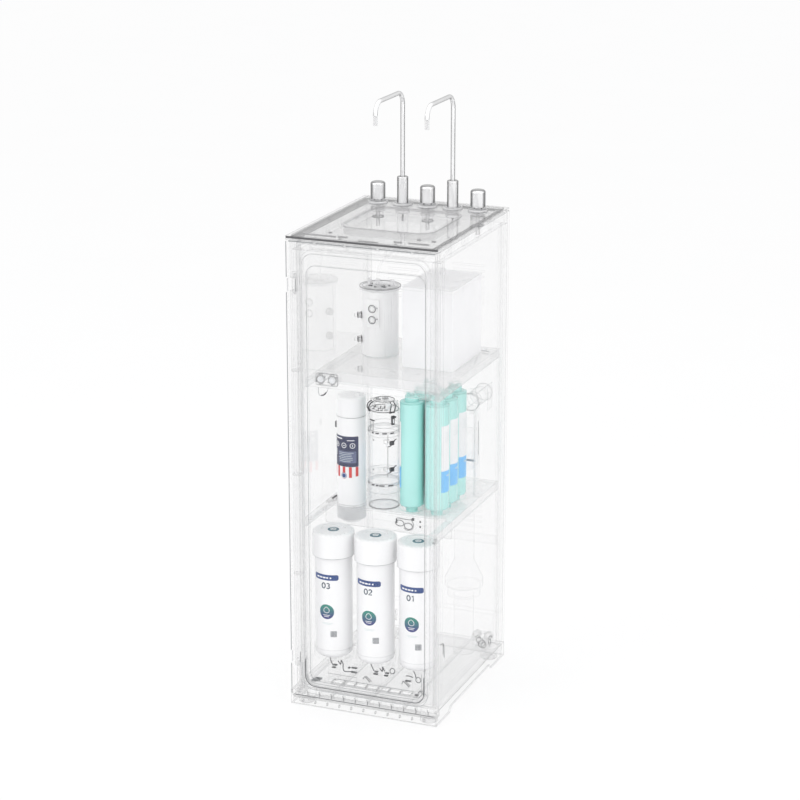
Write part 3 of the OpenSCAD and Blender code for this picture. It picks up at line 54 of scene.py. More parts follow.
UPPER_SHELF = (0.68, 0.72)  # metres, where the mirror on the left fades in


# Node helpers
class Nodes:
    """Short calls for the nodes that this scene uses."""

    def __init__(self, tree, output):
        self.t = tree
        self.t.nodes.clear()
        self.out = self.n(output)

    def n(self, kind, **sets):
        node = self.t.nodes.new(kind)
        for key, value in sets.items():
            setattr(node, key, value)
        return node

    def put(self, socket, value):
        if isinstance(value, bpy.types.NodeSocket):
            self.t.links.new(value, socket)
        else:
            socket.default_value = value

    def math(self, op, a, b=0.0, clamp=False):
        node = self.n("ShaderNodeMath", operation=op, use_clamp=clamp)
        self.put(node.inputs[0], a)
        self.put(node.inputs[1], b)
        return node.outputs[0]

    def blend(self, share, a, b):
        """A mix of two shaders."""
        node = self.n("ShaderNodeMixShader")
        for i, value in enumerate((share, a, b)):
            self.put(node.inputs[i], value)
        return node.outputs[0]

    def seen(self):
        """1 for rays that look at things, 0 for the ones that light them."""
        path = self.n("ShaderNodeLightPath").outputs
        return self.math("MAXIMUM", path["Is Camera Ray"],
                         self.math("MAXIMUM", path["Is Glossy Ray"], path["Is Transmission Ray"]))

    def done(self, shader):
        self.put(self.out.inputs["Surface"], shader)


class Mat(Nodes):
    """A node material."""

    def __init__(self, name):
        self.m = bpy.data.materials.new(name)
        self.m.use_nodes = True
        super().__init__(self.m.node_tree, "ShaderNodeOutputMaterial")
        self.coord = self.n("ShaderNodeTexCoord").outputs["Object"]

    def part(self, vector, axis):
        """One coordinate of a vector."""
        node = self.n("ShaderNodeSeparateXYZ")
        self.put(node.inputs[0], vector)
        return node.outputs[axis]

    def noise(self, scale, detail=3.0, stretch=(1, 1, 1), rough=0.5):
        mapping = self.n("ShaderNodeMapping")
        mapping.inputs["Scale"].default_value = stretch
        self.put(mapping.inputs["Vector"], self.coord)
        node = self.n("ShaderNodeTexNoise")
        self.put(node.inputs["Vector"], mapping.outputs[0])
        node.inputs["Scale"].default_value = scale
        node.inputs["Detail"].default_value = detail
        node.inputs["Roughness"].default_value = rough
        return node.outputs["Fac"]

    def ramp(self, value, low, high, out_low, out_high):
        node = self.n("ShaderNodeMapRange")
        self.put(node.inputs[0], value)
        for i, x in enumerate((low, high, out_low, out_high)):
            node.inputs[i + 1].default_value = x
        return node.outputs[0]

    def spread(self, noise, low, high):
        """The usual span of a noise, spread over a range."""
        return self.ramp(noise, 0.3, 0.7, low, high)

    def mix(self, fac, a, b):
        node = self.n("ShaderNodeMix", data_type="RGBA")
        self.put(node.inputs["Factor"], fac)
        self.put(node.inputs["A"], a)
        self.put(node.inputs["B"], b)
        return node.outputs["Result"]

    def bump(self, height, strength, distance=0.0005):
        node = self.n("ShaderNodeBump")
        node.inputs["Strength"].default_value = strength
        node.inputs["Distance"].default_value = distance
        self.put(node.inputs["Height"], height)
        return node.outputs[0]

    def principled(self, color, rough, **sets):
        node = self.n("ShaderNodeBsdfPrincipled")
        self.put(node.inputs["Base Color"], color)
        self.put(node.inputs["Roughness"], rough)
        for key, value in sets.items():
            self.put(node.inputs[key.replace("_", " ")], value)
        return node.outputs[0]

    def edges(self, radius, samples=6):
        """1 on an edge sharper than the radius, 0 on a flat face."""
        bevel = self.n("ShaderNodeBevel", samples=samples)
        bevel.inputs["Radius"].default_value = radius
        geo = self.n("ShaderNodeNewGeometry")
        dot = self.n("ShaderNodeVectorMath", operation="DOT_PRODUCT")
        self.put(dot.inputs[0], bevel.outputs[0])
        self.put(dot.inputs[1], geo.outputs["Normal"])
        return self.ramp(dot.outputs["Value"], 0.998, 0.955, 0.0, 1.0)

    def facing(self, power):
        node = self.n("ShaderNodeLayerWeight")
        node.inputs["Blend"].default_value = 0.5
        return self.math("POWER", node.outputs["Facing"], power)

    def done(self, shader):
        super().done(shader)
        return self.m


def grey(v):
    return (v, v, v * 1.01, 1.0)


def ghost(name, veil=0.06, tint=0.93, edge_alpha=0.5, edge_tint=0.5, radius=0.0012,
          rim=0.0, rim_tint=0.35, rough=0.06, gloss=0.4, left_gloss=None, top_veil=0.0,
          drift=0.2):
    """Clear plastic or glass: a faint veil, with painted shade darkening its edges and rims, and a
    gloss.

    The veil drifts by a share of itself, and level faces add top_veil. On the left, left_gloss
    takes the place of gloss, in full above the upper shelf.
    """
    m = Mat(name)
    smudge = m.noise(22.0, 4.0)
    geo = m.n("ShaderNodeNewGeometry").outputs
    alpha = m.spread(smudge, veil * (1 - drift), veil * (1 + drift))
    if top_veil:
        alpha = m.math("ADD", alpha, m.ramp(m.part(geo["Normal"], "Z"), 0.9, 0.99, 0.0, top_veil))
    colour = grey(tint)
    # Painted edge shade: near an edge the surface turns more opaque and takes the edge tint.
    if edge_alpha:
        edge = m.edges(radius)
        alpha = m.math("MAXIMUM", alpha, m.math("MULTIPLY", edge, edge_alpha))
        colour = m.mix(edge, colour, grey(edge_tint))
    # Painted rim shade: faces turning away take the rim tint, which becomes a painted highlight
    # where that tint is white.
    if rim:
        side = m.facing(3.0)
        alpha = m.math("MAXIMUM", alpha, m.math("MULTIPLY", side, rim))
        colour = m.mix(side, colour, grey(rim_tint))
    body = m.principled(colour, m.spread(smudge, 0.25, 0.4), Alpha=alpha,
                        Specular_IOR_Level=0.1)
    front = m.math("SUBTRACT", 1.0, geo["Backfacing"])
    grazing = m.math("ADD", m.math("MULTIPLY", m.facing(5.0), 0.9), 0.04)
    if left_gloss:
        left = m.ramp(m.part(m.coord, "X"), -0.01, 0.01, left_gloss - gloss, 0.0)
        above = m.ramp(m.part(m.coord, "Z"), *UPPER_SHELF, 0.3, 1.0)
        gloss = m.math("ADD", m.math("MULTIPLY", left, above), gloss)
    share = m.math("MULTIPLY", m.math("MULTIPLY", grazing, front), gloss, clamp=True)
    shine = m.n("ShaderNodeBsdfGlossy")
    m.put(shine.inputs["Roughness"], m.spread(smudge, rough * 0.6, rough * 1.6))
    return m.done(m.blend(share, body, shine.outputs[0]))


def plastic(name, colour, rough=0.3, grain=900.0, bump=0.02, spread=0.02, rim=None, **sets):
    """Moulded plastic: slight colour drift, uneven roughness and a fine skin."""
    m = Mat(name)
    drift = m.noise(9.0, 3.0)
    fine = m.noise(grain, 4.0)
    dark = tuple(c * (1 - spread) for c in colour) + (1.0,)
    light = tuple(min(1.0, c * (1 + spread)) for c in colour) + (1.0,)
    base = m.mix(m.spread(drift, 0.0, 1.0), dark, light)
    # Painted shade: the colour turns to the rim colour as the face turns away.
    if rim:
        base = m.mix(m.ramp(m.facing(1.0), 0.15, 0.85, 0.0, 1.0), base, rim + (1.0,))
    skin = m.spread(fine, rough * 0.8, rough * 1.2)
    return m.done(m.principled(base, skin, Normal=m.bump(fine, bump), **sets))


def ink(name, colour, rough=0.4, grain=500.0, bump=0.01, spread=0.02):
    """A print or a thin dark line."""
    return plastic(name, colour, rough, grain, bump, spread)


def fade(name, low, high, z_low, z_high, rough=0.3):
    """A print whose colour fades from low to high up the piece."""
    m = Mat(name)
    grain = m.noise(500.0, 3.0)
    up = m.ramp(m.part(m.coord, "Z"), z_low, z_high, 0.0, 1.0)
    base = m.mix(up, low + (1.0,), high + (1.0,))
    return m.done(m.principled(base, m.spread(grain, rough * 0.8, rough * 1.2),
                               Normal=m.bump(grain, 0.01)))


def metal(name, colour, rough=0.12, stretch=(1, 1, 1), grain=60.0, bump=0.04, smear=0.3,
          metallic=1.0, rim=None, rim_top=None):
    """Metal with a grain along one direction, smears, and a darker band of painted shade and
    reflection towards its rims.

    The rim is (start, end, tint) as the face turns away. Over the heights of rim_top it gives
    way to a narrower one, for the arm of a spout.
    """
    m = Mat(name)
    lines = m.noise(grain, 5.0, stretch)
    haze = m.noise(14.0, 3.0)
    dark = tuple(c * 0.93 for c in colour) + (1.0,)
    base = m.mix(m.spread(haze, 0.0, 1.0), dark, colour + (1.0,))
    # Painted band: the colour turns to the rim tint as the face turns away.
    if rim:
        band = m.ramp(m.facing(1.0), rim[0], rim[1], 0.0, 1.0)
        if rim_top:
            narrow = m.ramp(m.facing(1.0), 0.5, 0.8, 0.0, 1.0)
            band = m.mix(m.ramp(m.part(m.coord, "Z"), *rim_top, 0.0, 1.0), band, narrow)
        base = m.mix(band, base, grey(rim[2]))
    worn = m.math("ADD", m.spread(lines, rough * 0.75, rough * 1.25),
                  m.ramp(haze, 0.45, 0.75, 0.0, rough * smear))
    return m.done(m.principled(base, worn, Metallic=metallic, Normal=m.bump(lines, bump)))


# Materials: veil, tint, strength and tint of the edges, reach of the edges, rim and its tint; the
# edges and rims are painted shade
CLEAR_WALL = ghost("clear_wall", 0.02, 0.97, 0.42, 0.47, 0.0014)
CLEAR_BACK = ghost("clear_back", 0.03, 0.97, 0.28, 0.6, 0.0011)
CLEAR_FRAME = ghost("clear_frame", 0.05, 0.93, 0.62, 0.34, 0.0011)
CLEAR_BASE = ghost("clear_base", 0.06, 0.75, 0.8, 0.22, 0.0014, top_veil=0.15)
CLEAR_DOOR = ghost("clear_door", 0.035, 0.93, 0.5, 0.36, 0.0011)
CLEAR_HINGE = ghost("clear_hinge", 0.15, 0.68, 0.55, 0.36, 0.0011)
CLEAR_PANE = ghost("clear_pane", 0.015, 0.97, 0.3, 0.5)
LINER = ghost("mirror_liner", 0.03, 0.96, 0.3, 0.6, rough=0.02, gloss=0.5, left_gloss=2.8)
SHELF = ghost("gloss_shelf", 0.14, 0.86, 0.55, 0.5, rough=0.03, gloss=2.2, top_veil=0.12)
LOWER_SHELF = ghost("clear_shelf", 0.12, 0.92, 0.55, 0.4, rough=0.03, gloss=1.3, top_veil=0.14)
FASCIA = ghost("milky_fascia", 0.12, 0.95, 0.6, 0.62)
TOP_GLASS = ghost("grey_glass", 0.295, 0.52, 0.8, 0.1, rough=0.02, gloss=0.8)
BEZEL = ghost("smoke_bezel", 0.12, 0.6, 0.9, 0.10, 0.0012)
TRAY = ghost("tray_clear", 0.26, 0.62, 0.35, 0.4)
CLEAR_PART = ghost("clear_part", 0.08, 0.9, 0.75, 0.15, 0.0009, 0.65, 0.22)
HEADS = ghost("clear_heads", 0.03, 0.92, 0.25, 0.35, 0.0007, 0.16, 0.4)
# The thick white veil of CLEAR_RING and the white rims of CLEAR_VALVE are painted highlights on
# clear escutcheons and valve bodies.
CLEAR_RING = ghost("clear_ring", 0.42, 1.0, 0.6, 0.3, 0.0007, 0.2, 0.7)
CLEAR_VALVE = ghost("clear_valve", 0.10, 1.0, 0.7, 0.15, 0.0006, 0.8, 1.0)
CLEAR_TIP = ghost("clear_tip", 0.35, 0.8, 0.0, 0.5, rim=0.7, rim_tint=0.45)
CLEAR_TANK = ghost("clear_tank", 0.05, 0.95, 0.6, 0.25, rim=0.5, rim_tint=0.45)
FAINT_TANK = ghost("faint_tank", 0.04, 0.95, 0.3, 0.5, rim=0.22, rim_tint=0.6)
PALE_LID = ghost("pale_lid", 0.55, 1.0, 0.8, 0.4, 0.0004)
CLEAR_PAD = ghost("clear_pad", 0.25, 0.85, 0.5, 0.5, rough=0.3)
FOAM = ghost("milky_foam", 0.95, 0.99, 0.98, 0.8, rough=0.4, gloss=0.1, drift=0.02)
# CHROME and SPOUT darken to grey towards their sides as a painted dark reflection; the faint rim
# band of STEEL is painted shade.
CHROME = metal("chrome", (0.95, 0.95, 0.955), rough=0.04, grain=30.0, bump=0.0005,
               smear=0.1, metallic=0.4, rim=(0.25, 0.42, 0.24))
SPOUT = metal("chrome_tube", (0.95, 0.95, 0.955), rough=0.04, grain=30.0, bump=0.0005,
              smear=0.1, metallic=0.4, rim=(0.10, 0.50, 0.26), rim_top=(1.232, 1.25))
STEEL = metal("brushed_steel", (0.99, 0.99, 0.99), rough=0.34, stretch=(1, 1, 0.03),
              grain=300.0, bump=0.001, smear=0.02, metallic=0.1, rim=(0.5, 0.95, 0.92))
WHITE = plastic("white_housing", (0.95, 0.95, 0.955), rough=0.28, Coat_Weight=0.3)
# SHADED_WHITE and TEAL darken to their rim colour towards their sides: painted shade.
SHADED_WHITE = plastic("shaded_white", (0.95, 0.95, 0.955), rough=0.28, rim=(0.80, 0.80, 0.81),
                       Coat_Weight=0.3)
TEAL = plastic("teal_shell", (0.46, 0.86, 0.81), rough=0.22, spread=0.03,
               rim=(0.31, 0.74, 0.70), Coat_Weight=0.7)
DARK = plastic("dark_fitting", (0.2, 0.2, 0.21), rough=0.45)
GASKET = ghost("gasket_grey", 0.10, 0.6, 0.2, 0.4)
ROCKER = plastic("rocker", (0.80, 0.81, 0.83), rough=0.3)
TUBE = ghost("water_tube", veil=0.12, tint=1.0, edge_alpha=0.0, rim=0.25, rim_tint=0.8)

BAND_BLUE = ink("band_blue", (0.025, 0.068, 0.24), 0.3, spread=0.12)
PRINT_WHITE = ink("print_white", (0.9, 0.9, 0.91), 0.35)
PRINT_FAINT = ink("print_faint", (0.66, 0.74, 0.74))
PRINT_GREY = ink("print_grey", (0.05, 0.08, 0.12))
PRINT_TILE = ink("print_tile", (0.24, 0.25, 0.27))
PRINT_RED = ink("print_red", (0.66, 0.05, 0.045), 0.35)
PRINT_SLATE = ink("print_slate", (0.13, 0.15, 0.26))
LABEL_NAVY = ink("label_navy", (0.035, 0.042, 0.10), 0.35, spread=0.15)
STRIP_BLUE = ink("strip_blue", (0.10, 0.52, 0.97), 0.3)
BADGE_DARK = ink("badge_dark", (0.03, 0.13, 0.17), 0.3, spread=0.1)
BADGE_TEAL = fade("badge_teal", (0.05, 0.06, 0.22), (0.03, 0.25, 0.20), 0.197, 0.219)
TEAL_DEEP = ink("teal_deep", (0.10, 0.45, 0.40), 0.3, 400.0, 0.02)
SLEEVE_GREY = ink("sleeve_grey", (0.70, 0.71, 0.72), 0.35, 400.0, 0.02)
SOFT_GREY = ink("soft_grey", (0.52, 0.53, 0.54), 0.4, 400.0, 0.02)
SEAM_GREY = ink("seam_grey", (0.30, 0.31, 0.32), 0.4, 400.0, 0.02)
SEAM_DARK = ink("seam_dark", (0.12, 0.125, 0.13), 0.4, 400.0, 0.02)
INK = ink("ink_black", (0.035, 0.035, 0.04), 0.35, 400.0, 0.02)

LOOKS = (
    (CLEAR_BASE, "base_pan"),
    (CLEAR_PAD, "foot_pads"),
    (CLEAR_WALL, "side_panel_left side_panel_right"),
    (CLEAR_BACK, "back_panel rear_crossbar filter_rack"),
    (LINER, "side_liners"),
    (CLEAR_FRAME, "top_frame hinge_brackets"),
    (BEZEL, "top_bezel"),
    (TOP_GLASS, "top_glass"),
    (TRAY, "drip_tray"),
    (SHELF, "shelf_upper"),
    (FASCIA, "shelf_fascia"),
    (LOWER_SHELF, "shelf_lower"),
    (CLEAR_PART, "switch_bezels hinge_pins tap_nuts hot_tank_ports buffer_tank_cap "
                 "inlet_valve water_fittings power_inlet"),
    (ROCKER, "switch_rocker_hot switch_rocker_cold"),
    (CLEAR_DOOR, "door_frame door_liner"),
    (CLEAR_PANE, "door_window"),
    (GASKET, "door_gasket"),
    (CLEAR_HINGE, "door_hinge_stile"),
    (CLEAR_RING, "tap_escutcheons"),
    (CHROME, "faucet_collars knob_left knob_middle knob_right"),
    (CLEAR_VALVE, "faucet_shanks valve_bodies"),
    (SPOUT, "spout_hot spout_cold"),
    (CLEAR_TIP, "spout_tip_hot spout_tip_cold"),
    (STEEL, "hot_tank_shell hot_tank_thermostats"),
    (PALE_LID, "hot_tank_lid"),
    (FOAM, "cold_tank_jacket cold_tank_lid"),
    (FAINT_TANK, "cold_tank_inner booster_pump pump_bracket control_box accumulator"),
    (WHITE, "membrane_housing membrane_head"),
    (CLEAR_TANK, "buffer_tank"),
    (TEAL, "mineral_filters"),
    (SHADED_WHITE, "prefilter_bodies prefilter_caps"),
    (HEADS, "prefilter_heads"),
    (TUBE, "outlet_tubes"),
)
for material, members in LOOKS:
    for name in members.split():
        nodes[name].data.materials.clear()
        nodes[name].data.materials.append(material)


# Forms: closed shapes in millimetres
FRONT = (0, -1, 0)
LEFT = (-1, 0, 0)
MARK = (0.1, 0.42)  # how far down and up a mark reaches from the face that carries the label


def facing_frame(axis):
    """A turn that takes the third axis to the given direction and keeps up upright."""
    w = Vector(axis).normalized()
    up = Vector((0, 0, 1)) if abs(w.z) < 0.9 else Vector((0, 1, 0))
    u = up.cross(w).normalized()
    return Matrix((u, w.cross(u), w)).transposed()


def rounded(w, h, corner, steps=5):
    """The outline of a rectangle with round corners, about the origin."""
    corner = min(corner, w / 2 - 0.01, h / 2 - 0.01)
    points = []
    for k, (sx, sy) in enumerate(((1, 1), (-1, 1), (-1, -1), (1, -1))):
        for i in range(steps + 1):
            a = math.radians(90 * (k + i / steps))
            points.append((sx * (w / 2 - corner) + corner * math.cos(a),
                           sy * (h / 2 - corner) + corner * math.sin(a)))
    return points


def smooth(points, steps=6):
    """A smooth row of points through the given ones."""
    p = [Vector(q) for q in points]
    p = [p[0] * 2 - p[1]] + p + [p[-1] * 2 - p[-2]]
    out = []
    for a, b, c, d in zip(p, p[1:], p[2:], p[3:]):
        for i in range(steps):
            t = i / steps
            out.append(0.5 * (2 * b + (c - a) * t + (2 * a - 5 * b + 4 * c - d) * t * t
                              + (3 * b - a - 3 * c + d) * t ** 3))
    return out + [p[-2]]


def arc(centre, r, start, end, steps=16):
    """Points on a circle in the plane of a flat label, angles in degrees."""
    return [(centre[0] + r * math.cos(math.radians(start + (end - start) * i / steps)),
             centre[1] + r * math.sin(math.radians(start + (end - start) * i / steps)))
            for i in range(steps + 1)]


def oval(centre, w, h, step=15):
    """Points round an ellipse in the plane of a flat label."""
    return [(centre[0] + w / 2 * math.cos(math.radians(a)),
             centre[1] + h / 2 * math.sin(math.radians(a))) for a in range(0, 360, step)]


def upright(points, y):
    """Flat points, stood up in the plane at y."""
    return [(x, y, z) for x, z in points]


def directions(p, closed):
    """The way of a line at each of its points."""
    if closed:
        return [(b - a).normalized() for a, b in zip(p[-1:] + p[:-1], p[1:] + p[:1])]
    ways = [(b - a).normalized() for a, b in zip(p, p[1:])]
    return [ways[0]] + [(a + b).normalized() for a, b in zip(ways, ways[1:])] + ways[-1:]


class Form:
    """Gathers closed shapes into one piece that rides on a body."""

    def __init__(self):
        self.b = bmesh.new()

    def loft(self, rings, closed=False):
        """Skin over rings with as many points each; closed joins the last one to the first."""
        rows = [[self.b.verts.new(p) for p in ring] for ring in rings]
        count = len(rows[0])
        pairs = list(zip(rows, rows[1:])) + ([(rows[-1], rows[0])] if closed else [])
        for low, high in pairs:
            for i in range(count):
                j = (i + 1) % count
                self.b.faces.new((low[i], low[j], high[j], high[i]))
        if not closed:
            self.b.faces.new(rows[0][::-1])
            self.b.faces.new(rows[-1])
        return self

    def slab(self, centre, size, corner=1.0, edge=0.3, axis=(0, 0, 1)):
        """A block with round corners seen along its axis, and chamfered edges."""
        turn = facing_frame(axis)
        w, d, h = size
        edge = min(edge, h / 3)
        rows = []
        for z, inset in ((-h / 2, edge), (edge - h / 2, 0), (h / 2 - edge, 0), (h / 2, edge)):
            outline = rounded(w - 2 * inset, d - 2 * inset, max(corner - inset, 0.05))
            rows.append([Vector(centre) + turn @ Vector((x, y, z)) for x, y in outline])
        return self.loft(rows)

    def turned(self, profile, at, axis=(0, 0, 1), steps=40, hollow=False):
        """A turned form from (radius, height) points; hollow for a profile that closes."""
        turn = facing_frame(axis)
        rows = [[Vector(at) + turn @ Vector((r * math.cos(2 * math.pi * i / steps),
                                             r * math.sin(2 * math.pi * i / steps), z))
                 for i in range(steps)] for r, z in profile]
        return self.loft(rows, closed=hollow)

    def ring(self, at, r, wire, axis=(0, 0, 1), steps=48):
        """A round wire bent to a ring."""
        profile = [(r + wire * math.cos(math.pi * k / 4), wire * math.sin(math.pi * k / 4))
                   for k in range(8)]
        return self.turned(profile, at, axis, steps, hollow=True)

    def tube(self, points, r, sides=8, closed=False):
        """A round bar along a row of points, which closed joins end to end."""
        p = [Vector(q) for q in points]
        ways = directions(p, closed)
        side = facing_frame(ways[0]).col[0]
        rows = []
        for q, way in zip(p, ways):
            side = (side - way * side.dot(way)).normalized()
            over = way.cross(side)
            rows.append([q + r * (side * math.cos(2 * math.pi * i / sides)
                                  + over * math.sin(2 * math.pi * i / sides))
                         for i in range(sides)])
        return self.loft(rows, closed)

    def badge(self, s, z, w, h, corner=1.0, depth=(-0.3, 0.25), step=2.5):
        """A flat plate with round corners for a label, made in columns so that it can bend."""
        corner = min(corner, w / 2, h / 2)
        round_part = [1 - math.cos(math.radians(90 * i / 6)) for i in range(7)]
        xs = [-w / 2 + corner * (0.02 + 0.98 * t) for t in round_part]
        middle = max(0, int((w - 2 * corner) / step))
        xs += [-w / 2 + corner + (w - 2 * corner) * (i + 1) / (middle + 1) for i in range(middle)]
        xs += [-x for x in reversed(xs[:7])]
        rows = []
        for x in xs:
            over = max(0.0, abs(x) - (w / 2 - corner))
            half = h / 2 - corner + math.sqrt(max(corner ** 2 - over ** 2, 0.0004))
            rows.append([(s + x, depth[0], z - half), (s + x, depth[1], z - half),
                         (s + x, depth[1], z + half), (s + x, depth[0], z + half)])
        return self.loft(rows)

    def ribbon(self, points, width, depth=(-0.3, 0.35), closed=False):
        """A printed stroke along (s, z) points."""
        p = [Vector(q) for q in points]
        rows = []
        for q, way in zip(p, directions(p, closed)):
            n = Vector((-way.y, way.x)) * width / 2
            a, b = q + n, q - n
            rows.append([(a.x, depth[0], a.y), (a.x, depth[1], a.y),
                         (b.x, depth[1], b.y), (b.x, depth[0], b.y)])
        return self.loft(rows, closed=closed)

    def wrap(self, centre, radius, azimuth=0.0):
        """Bend flat shapes onto an upright cylinder; azimuth 0 faces the front, 90 the right."""
        for v in self.b.verts:
            a = math.radians(azimuth) + v.co.x / radius
            r = radius + v.co.y
            v.co = Vector((centre[0] + r * math.sin(a), centre[1] - r * math.cos(a), v.co.z))
        return self

    def save(self, name, material, slot="dark_fitting", body="cabinet"):
        bmesh.ops.scale(self.b, vec=(MM, MM, MM), verts=self.b.verts)
        bmesh.ops.recalc_face_normals(self.b, faces=self.b.faces)
        mesh = bpy.data.meshes.new(name)
        self.b.to_mesh(mesh)
        self.b.free()
        mesh.shade_smooth()
        mesh.set_sharp_from_angle(angle=math.radians(35))
        mesh.materials.append(material)
        obj = bpy.data.objects.new(name, mesh)
        scene.collection.objects.link(obj)
        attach(obj, body)


def on_node(node, origin, way):
    """The point where a ray first meets a node, in millimetres."""
    shape = bmesh.new()
    shape.from_mesh(nodes[node].data)
    place = BVHTree.FromBMesh(shape).ray_cast(Vector(origin) * MM, Vector(way))[0]
    shape.free()
    return place / MM


def loop(low, high, corner, y, steps=8):
    """A rounded rectangle in an upright plane, from its low left to its high right corner."""
    middle = ((low[0] + high[0]) / 2, (low[1] + high[1]) / 2)
    outline = rounded(high[0] - low[0], high[1] - low[1], corner, steps)
    return upright([(middle[0] + x, middle[1] + z) for x, z in outline], y)


# Prefilters: a label, a number, a round badge and a small tile on each, a badge on each cap
PREFILTER_XS = (-94.7, 1.0, 96.7)
PREFILTER_Y = -137.8
PREFILTER_R = 39.7
BAND_Z, NUMBER_Z, BADGE_Z, LINES_Z, TILE_Z = 284.4, 266, 207.6, 182.5, 158
CAP_Z, TEETH_Z, TEETH_R = 326.7, 374, 43.6


def digit(form, which, s, z, w=7.6, h=11.4, line=2.3):
    """A plain number, drawn as one stroke."""
    if which == "0":
        form.ribbon(oval((s, z), w, h), line, closed=True)
    elif which == "1":
        form.ribbon([(s - w * 0.3, z + h * 0.3), (s + w * 0.08, z + h / 2),
                     (s + w * 0.08, z - h / 2)], line)
    elif which == "2":
        form.ribbon(arc((s, z + h * 0.22), w * 0.42, 165, -35, 12)
                    + [(s - w * 0.45, z - h / 2), (s + w * 0.48, z - h / 2)], line)
    else:
        form.ribbon(arc((s, z + h * 0.25), w * 0.37, 150, -80, 12)
                    + arc((s, z - h * 0.23), w * 0.42, 75, -150, 12), line)


for i, x in enumerate(PREFILTER_XS):
    tag = "prefilter_%d" % (i + 1)
    middle = (x, PREFILTER_Y)
    skin = (middle, PREFILTER_R)
    band = Form().badge(-3.1, BAND_Z, 59, 12.4, 4.4)
    band.wrap(*skin).save(tag + "_band", BAND_BLUE, "housing")
    marks = Form()
    for s, w in ((-17.2, 7.0), (-9.2, 6.2), (-1.4, 6.6), (5.4, 4.4), (12.4, 3.4)):
        marks.badge(s - 3.1, BAND_Z - 0.4, w, 3.2, 1.0, depth=(0.1, 0.45))
    marks.wrap(*skin).save(tag + "_band_marks", PRINT_WHITE, "housing")
    number = Form()
    digit(number, "0", -6.2, NUMBER_Z)
    digit(number, "321"[i], 3.8, NUMBER_Z)
    number.wrap(*skin).save(tag + "_number", PRINT_GREY, "housing")
    disc = Form().badge(0, BADGE_Z, 33, 33, 16.4, step=2.0)
    disc.wrap(*skin).save(tag + "_badge", BADGE_TEAL, "housing")
    drop = Form()
    drop.ribbon([(7.5 * math.sin(math.radians(a)) * (0.35 + 0.65 * math.sin(math.radians(a / 2))),
                  BADGE_Z + 4.4 + 6.5 * math.cos(math.radians(a))) for a in range(0, 360, 12)],
                1.1, depth=MARK, closed=True)
    for k, w in enumerate((15, 11)):
        drop.badge(0, BADGE_Z - 7.4 - 3.2 * k, w, 1.2, 0.5, depth=MARK)
    drop.wrap(*skin).save(tag + "_badge_marks", PRINT_WHITE, "housing")
    faint = Form()
    for k, w in enumerate((24, 18)):
        faint.badge(1.5, LINES_Z - 2.6 * k, w, 0.9, 0.4)
    faint.wrap(*skin).save(tag + "_lines", PRINT_FAINT, "housing")
    tile = Form().badge(15.2, TILE_Z, 13, 13, 0.6)
    tile.wrap(*skin).save(tag + "_tile", PRINT_TILE, "housing")
    cells = Form()
    for row in range(4):
        for col in range(4):
            cells.badge(10.7 + 3 * col, TILE_Z - 4.5 + 3 * row, 1.1 + 0.5 * ((row + col) % 2),
                        1.3, 0.3, depth=(0.1, 0.4))
    cells.wrap(*skin).save(tag + "_tile_cells", PRINT_WHITE, "housing")
    # The outer ring draws the cap's lower edge; the inner ring on the body is a painted shadow
    # under the wider cap.
    edge = Form().ring((*middle, CAP_Z), 44.2, 0.5)
    edge.ring((*middle, CAP_Z - 1.1), 40.0, 0.4)
    edge.save("cap_%d_edge" % (i + 1), SOFT_GREY, "housing")
    teeth = Form()
    for k in range(40):
        a = math.radians(9 * k)
        out = (math.sin(a), -math.cos(a), 0)
        teeth.slab((x + TEETH_R * out[0], PREFILTER_Y + TEETH_R * out[1], TEETH_Z), (3.4, 7, 1.6),
                   0.7, 0.4, out)
    teeth.save("cap_%d_teeth" % (i + 1), WHITE, "housing")
    dish = on_node("prefilter_caps", (x, PREFILTER_Y, 500), (0, 0, -1))
    cap = Form().turned([(0.2, -0.4), (11.8, -0.4), (12.2, 0.0), (11.8, 0.5), (0.2, 0.6)], dish)
    cap.save("cap_%d_badge" % (i + 1), BADGE_DARK, "housing")
    glyph = Form().ring((dish.x, dish.y, dish.z + 0.5), 5.6, 0.8)
    glyph.slab((dish.x, dish.y, dish.z + 0.7), (6.5, 1.6, 0.9), 0.5, 0.2)
    glyph.save("cap_%d_badge_mark" % (i + 1), PRINT_WHITE, "housing")

# Membrane: a dark label with plain rings and lines, and a striped foot
MEMBRANE = (-97.0, -33.4)
MEMBRANE_R = 31.0
LABEL_Z, CIRCLES_Z, STRIPES_Z, SEAL_Z = 526.7, 540, 482, 473.5
mem_s = -8.0 * math.pi / 180 * MEMBRANE_R
Form().badge(mem_s, LABEL_Z, 64, 67, 2.5).wrap(MEMBRANE, MEMBRANE_R).save(
    "membrane_label", LABEL_NAVY, "housing")
foot = Form()
stripes = Form()
for k in range(9):
    drop = 1.3 * (4 - abs(4 - k))
    place = mem_s - 28.4 + 7.1 * k
    foot.badge(place, STRIPES_Z - drop / 2, 7.2, 22 + drop, 0.5)
    if k % 2 == 0:
        stripes.badge(place, STRIPES_Z + 0.4 - drop / 2, 6.2, 21 + drop, 0.5, depth=(0.1, 0.4))
foot.wrap(MEMBRANE, MEMBRANE_R).save("membrane_stripe_ground", PRINT_WHITE, "housing")
stripes.wrap(MEMBRANE, MEMBRANE_R).save("membrane_stripes", PRINT_RED, "housing")
Form().badge(mem_s, SEAL_Z, 13, 13, 6.5, (0.2, 0.6), 1.5).wrap(MEMBRANE, MEMBRANE_R).save(
    "membrane_seal", BAND_BLUE, "housing")
light = Form()
light.ribbon(oval((mem_s, SEAL_Z), 10, 10, 20), 0.9, depth=(0.3, 0.75), closed=True)
light.badge(mem_s - 14, 554.5, 20, 2.6, 0.8, depth=MARK)
light.badge(mem_s + 15, 551.5, 16, 1.6, 0.6, depth=MARK)
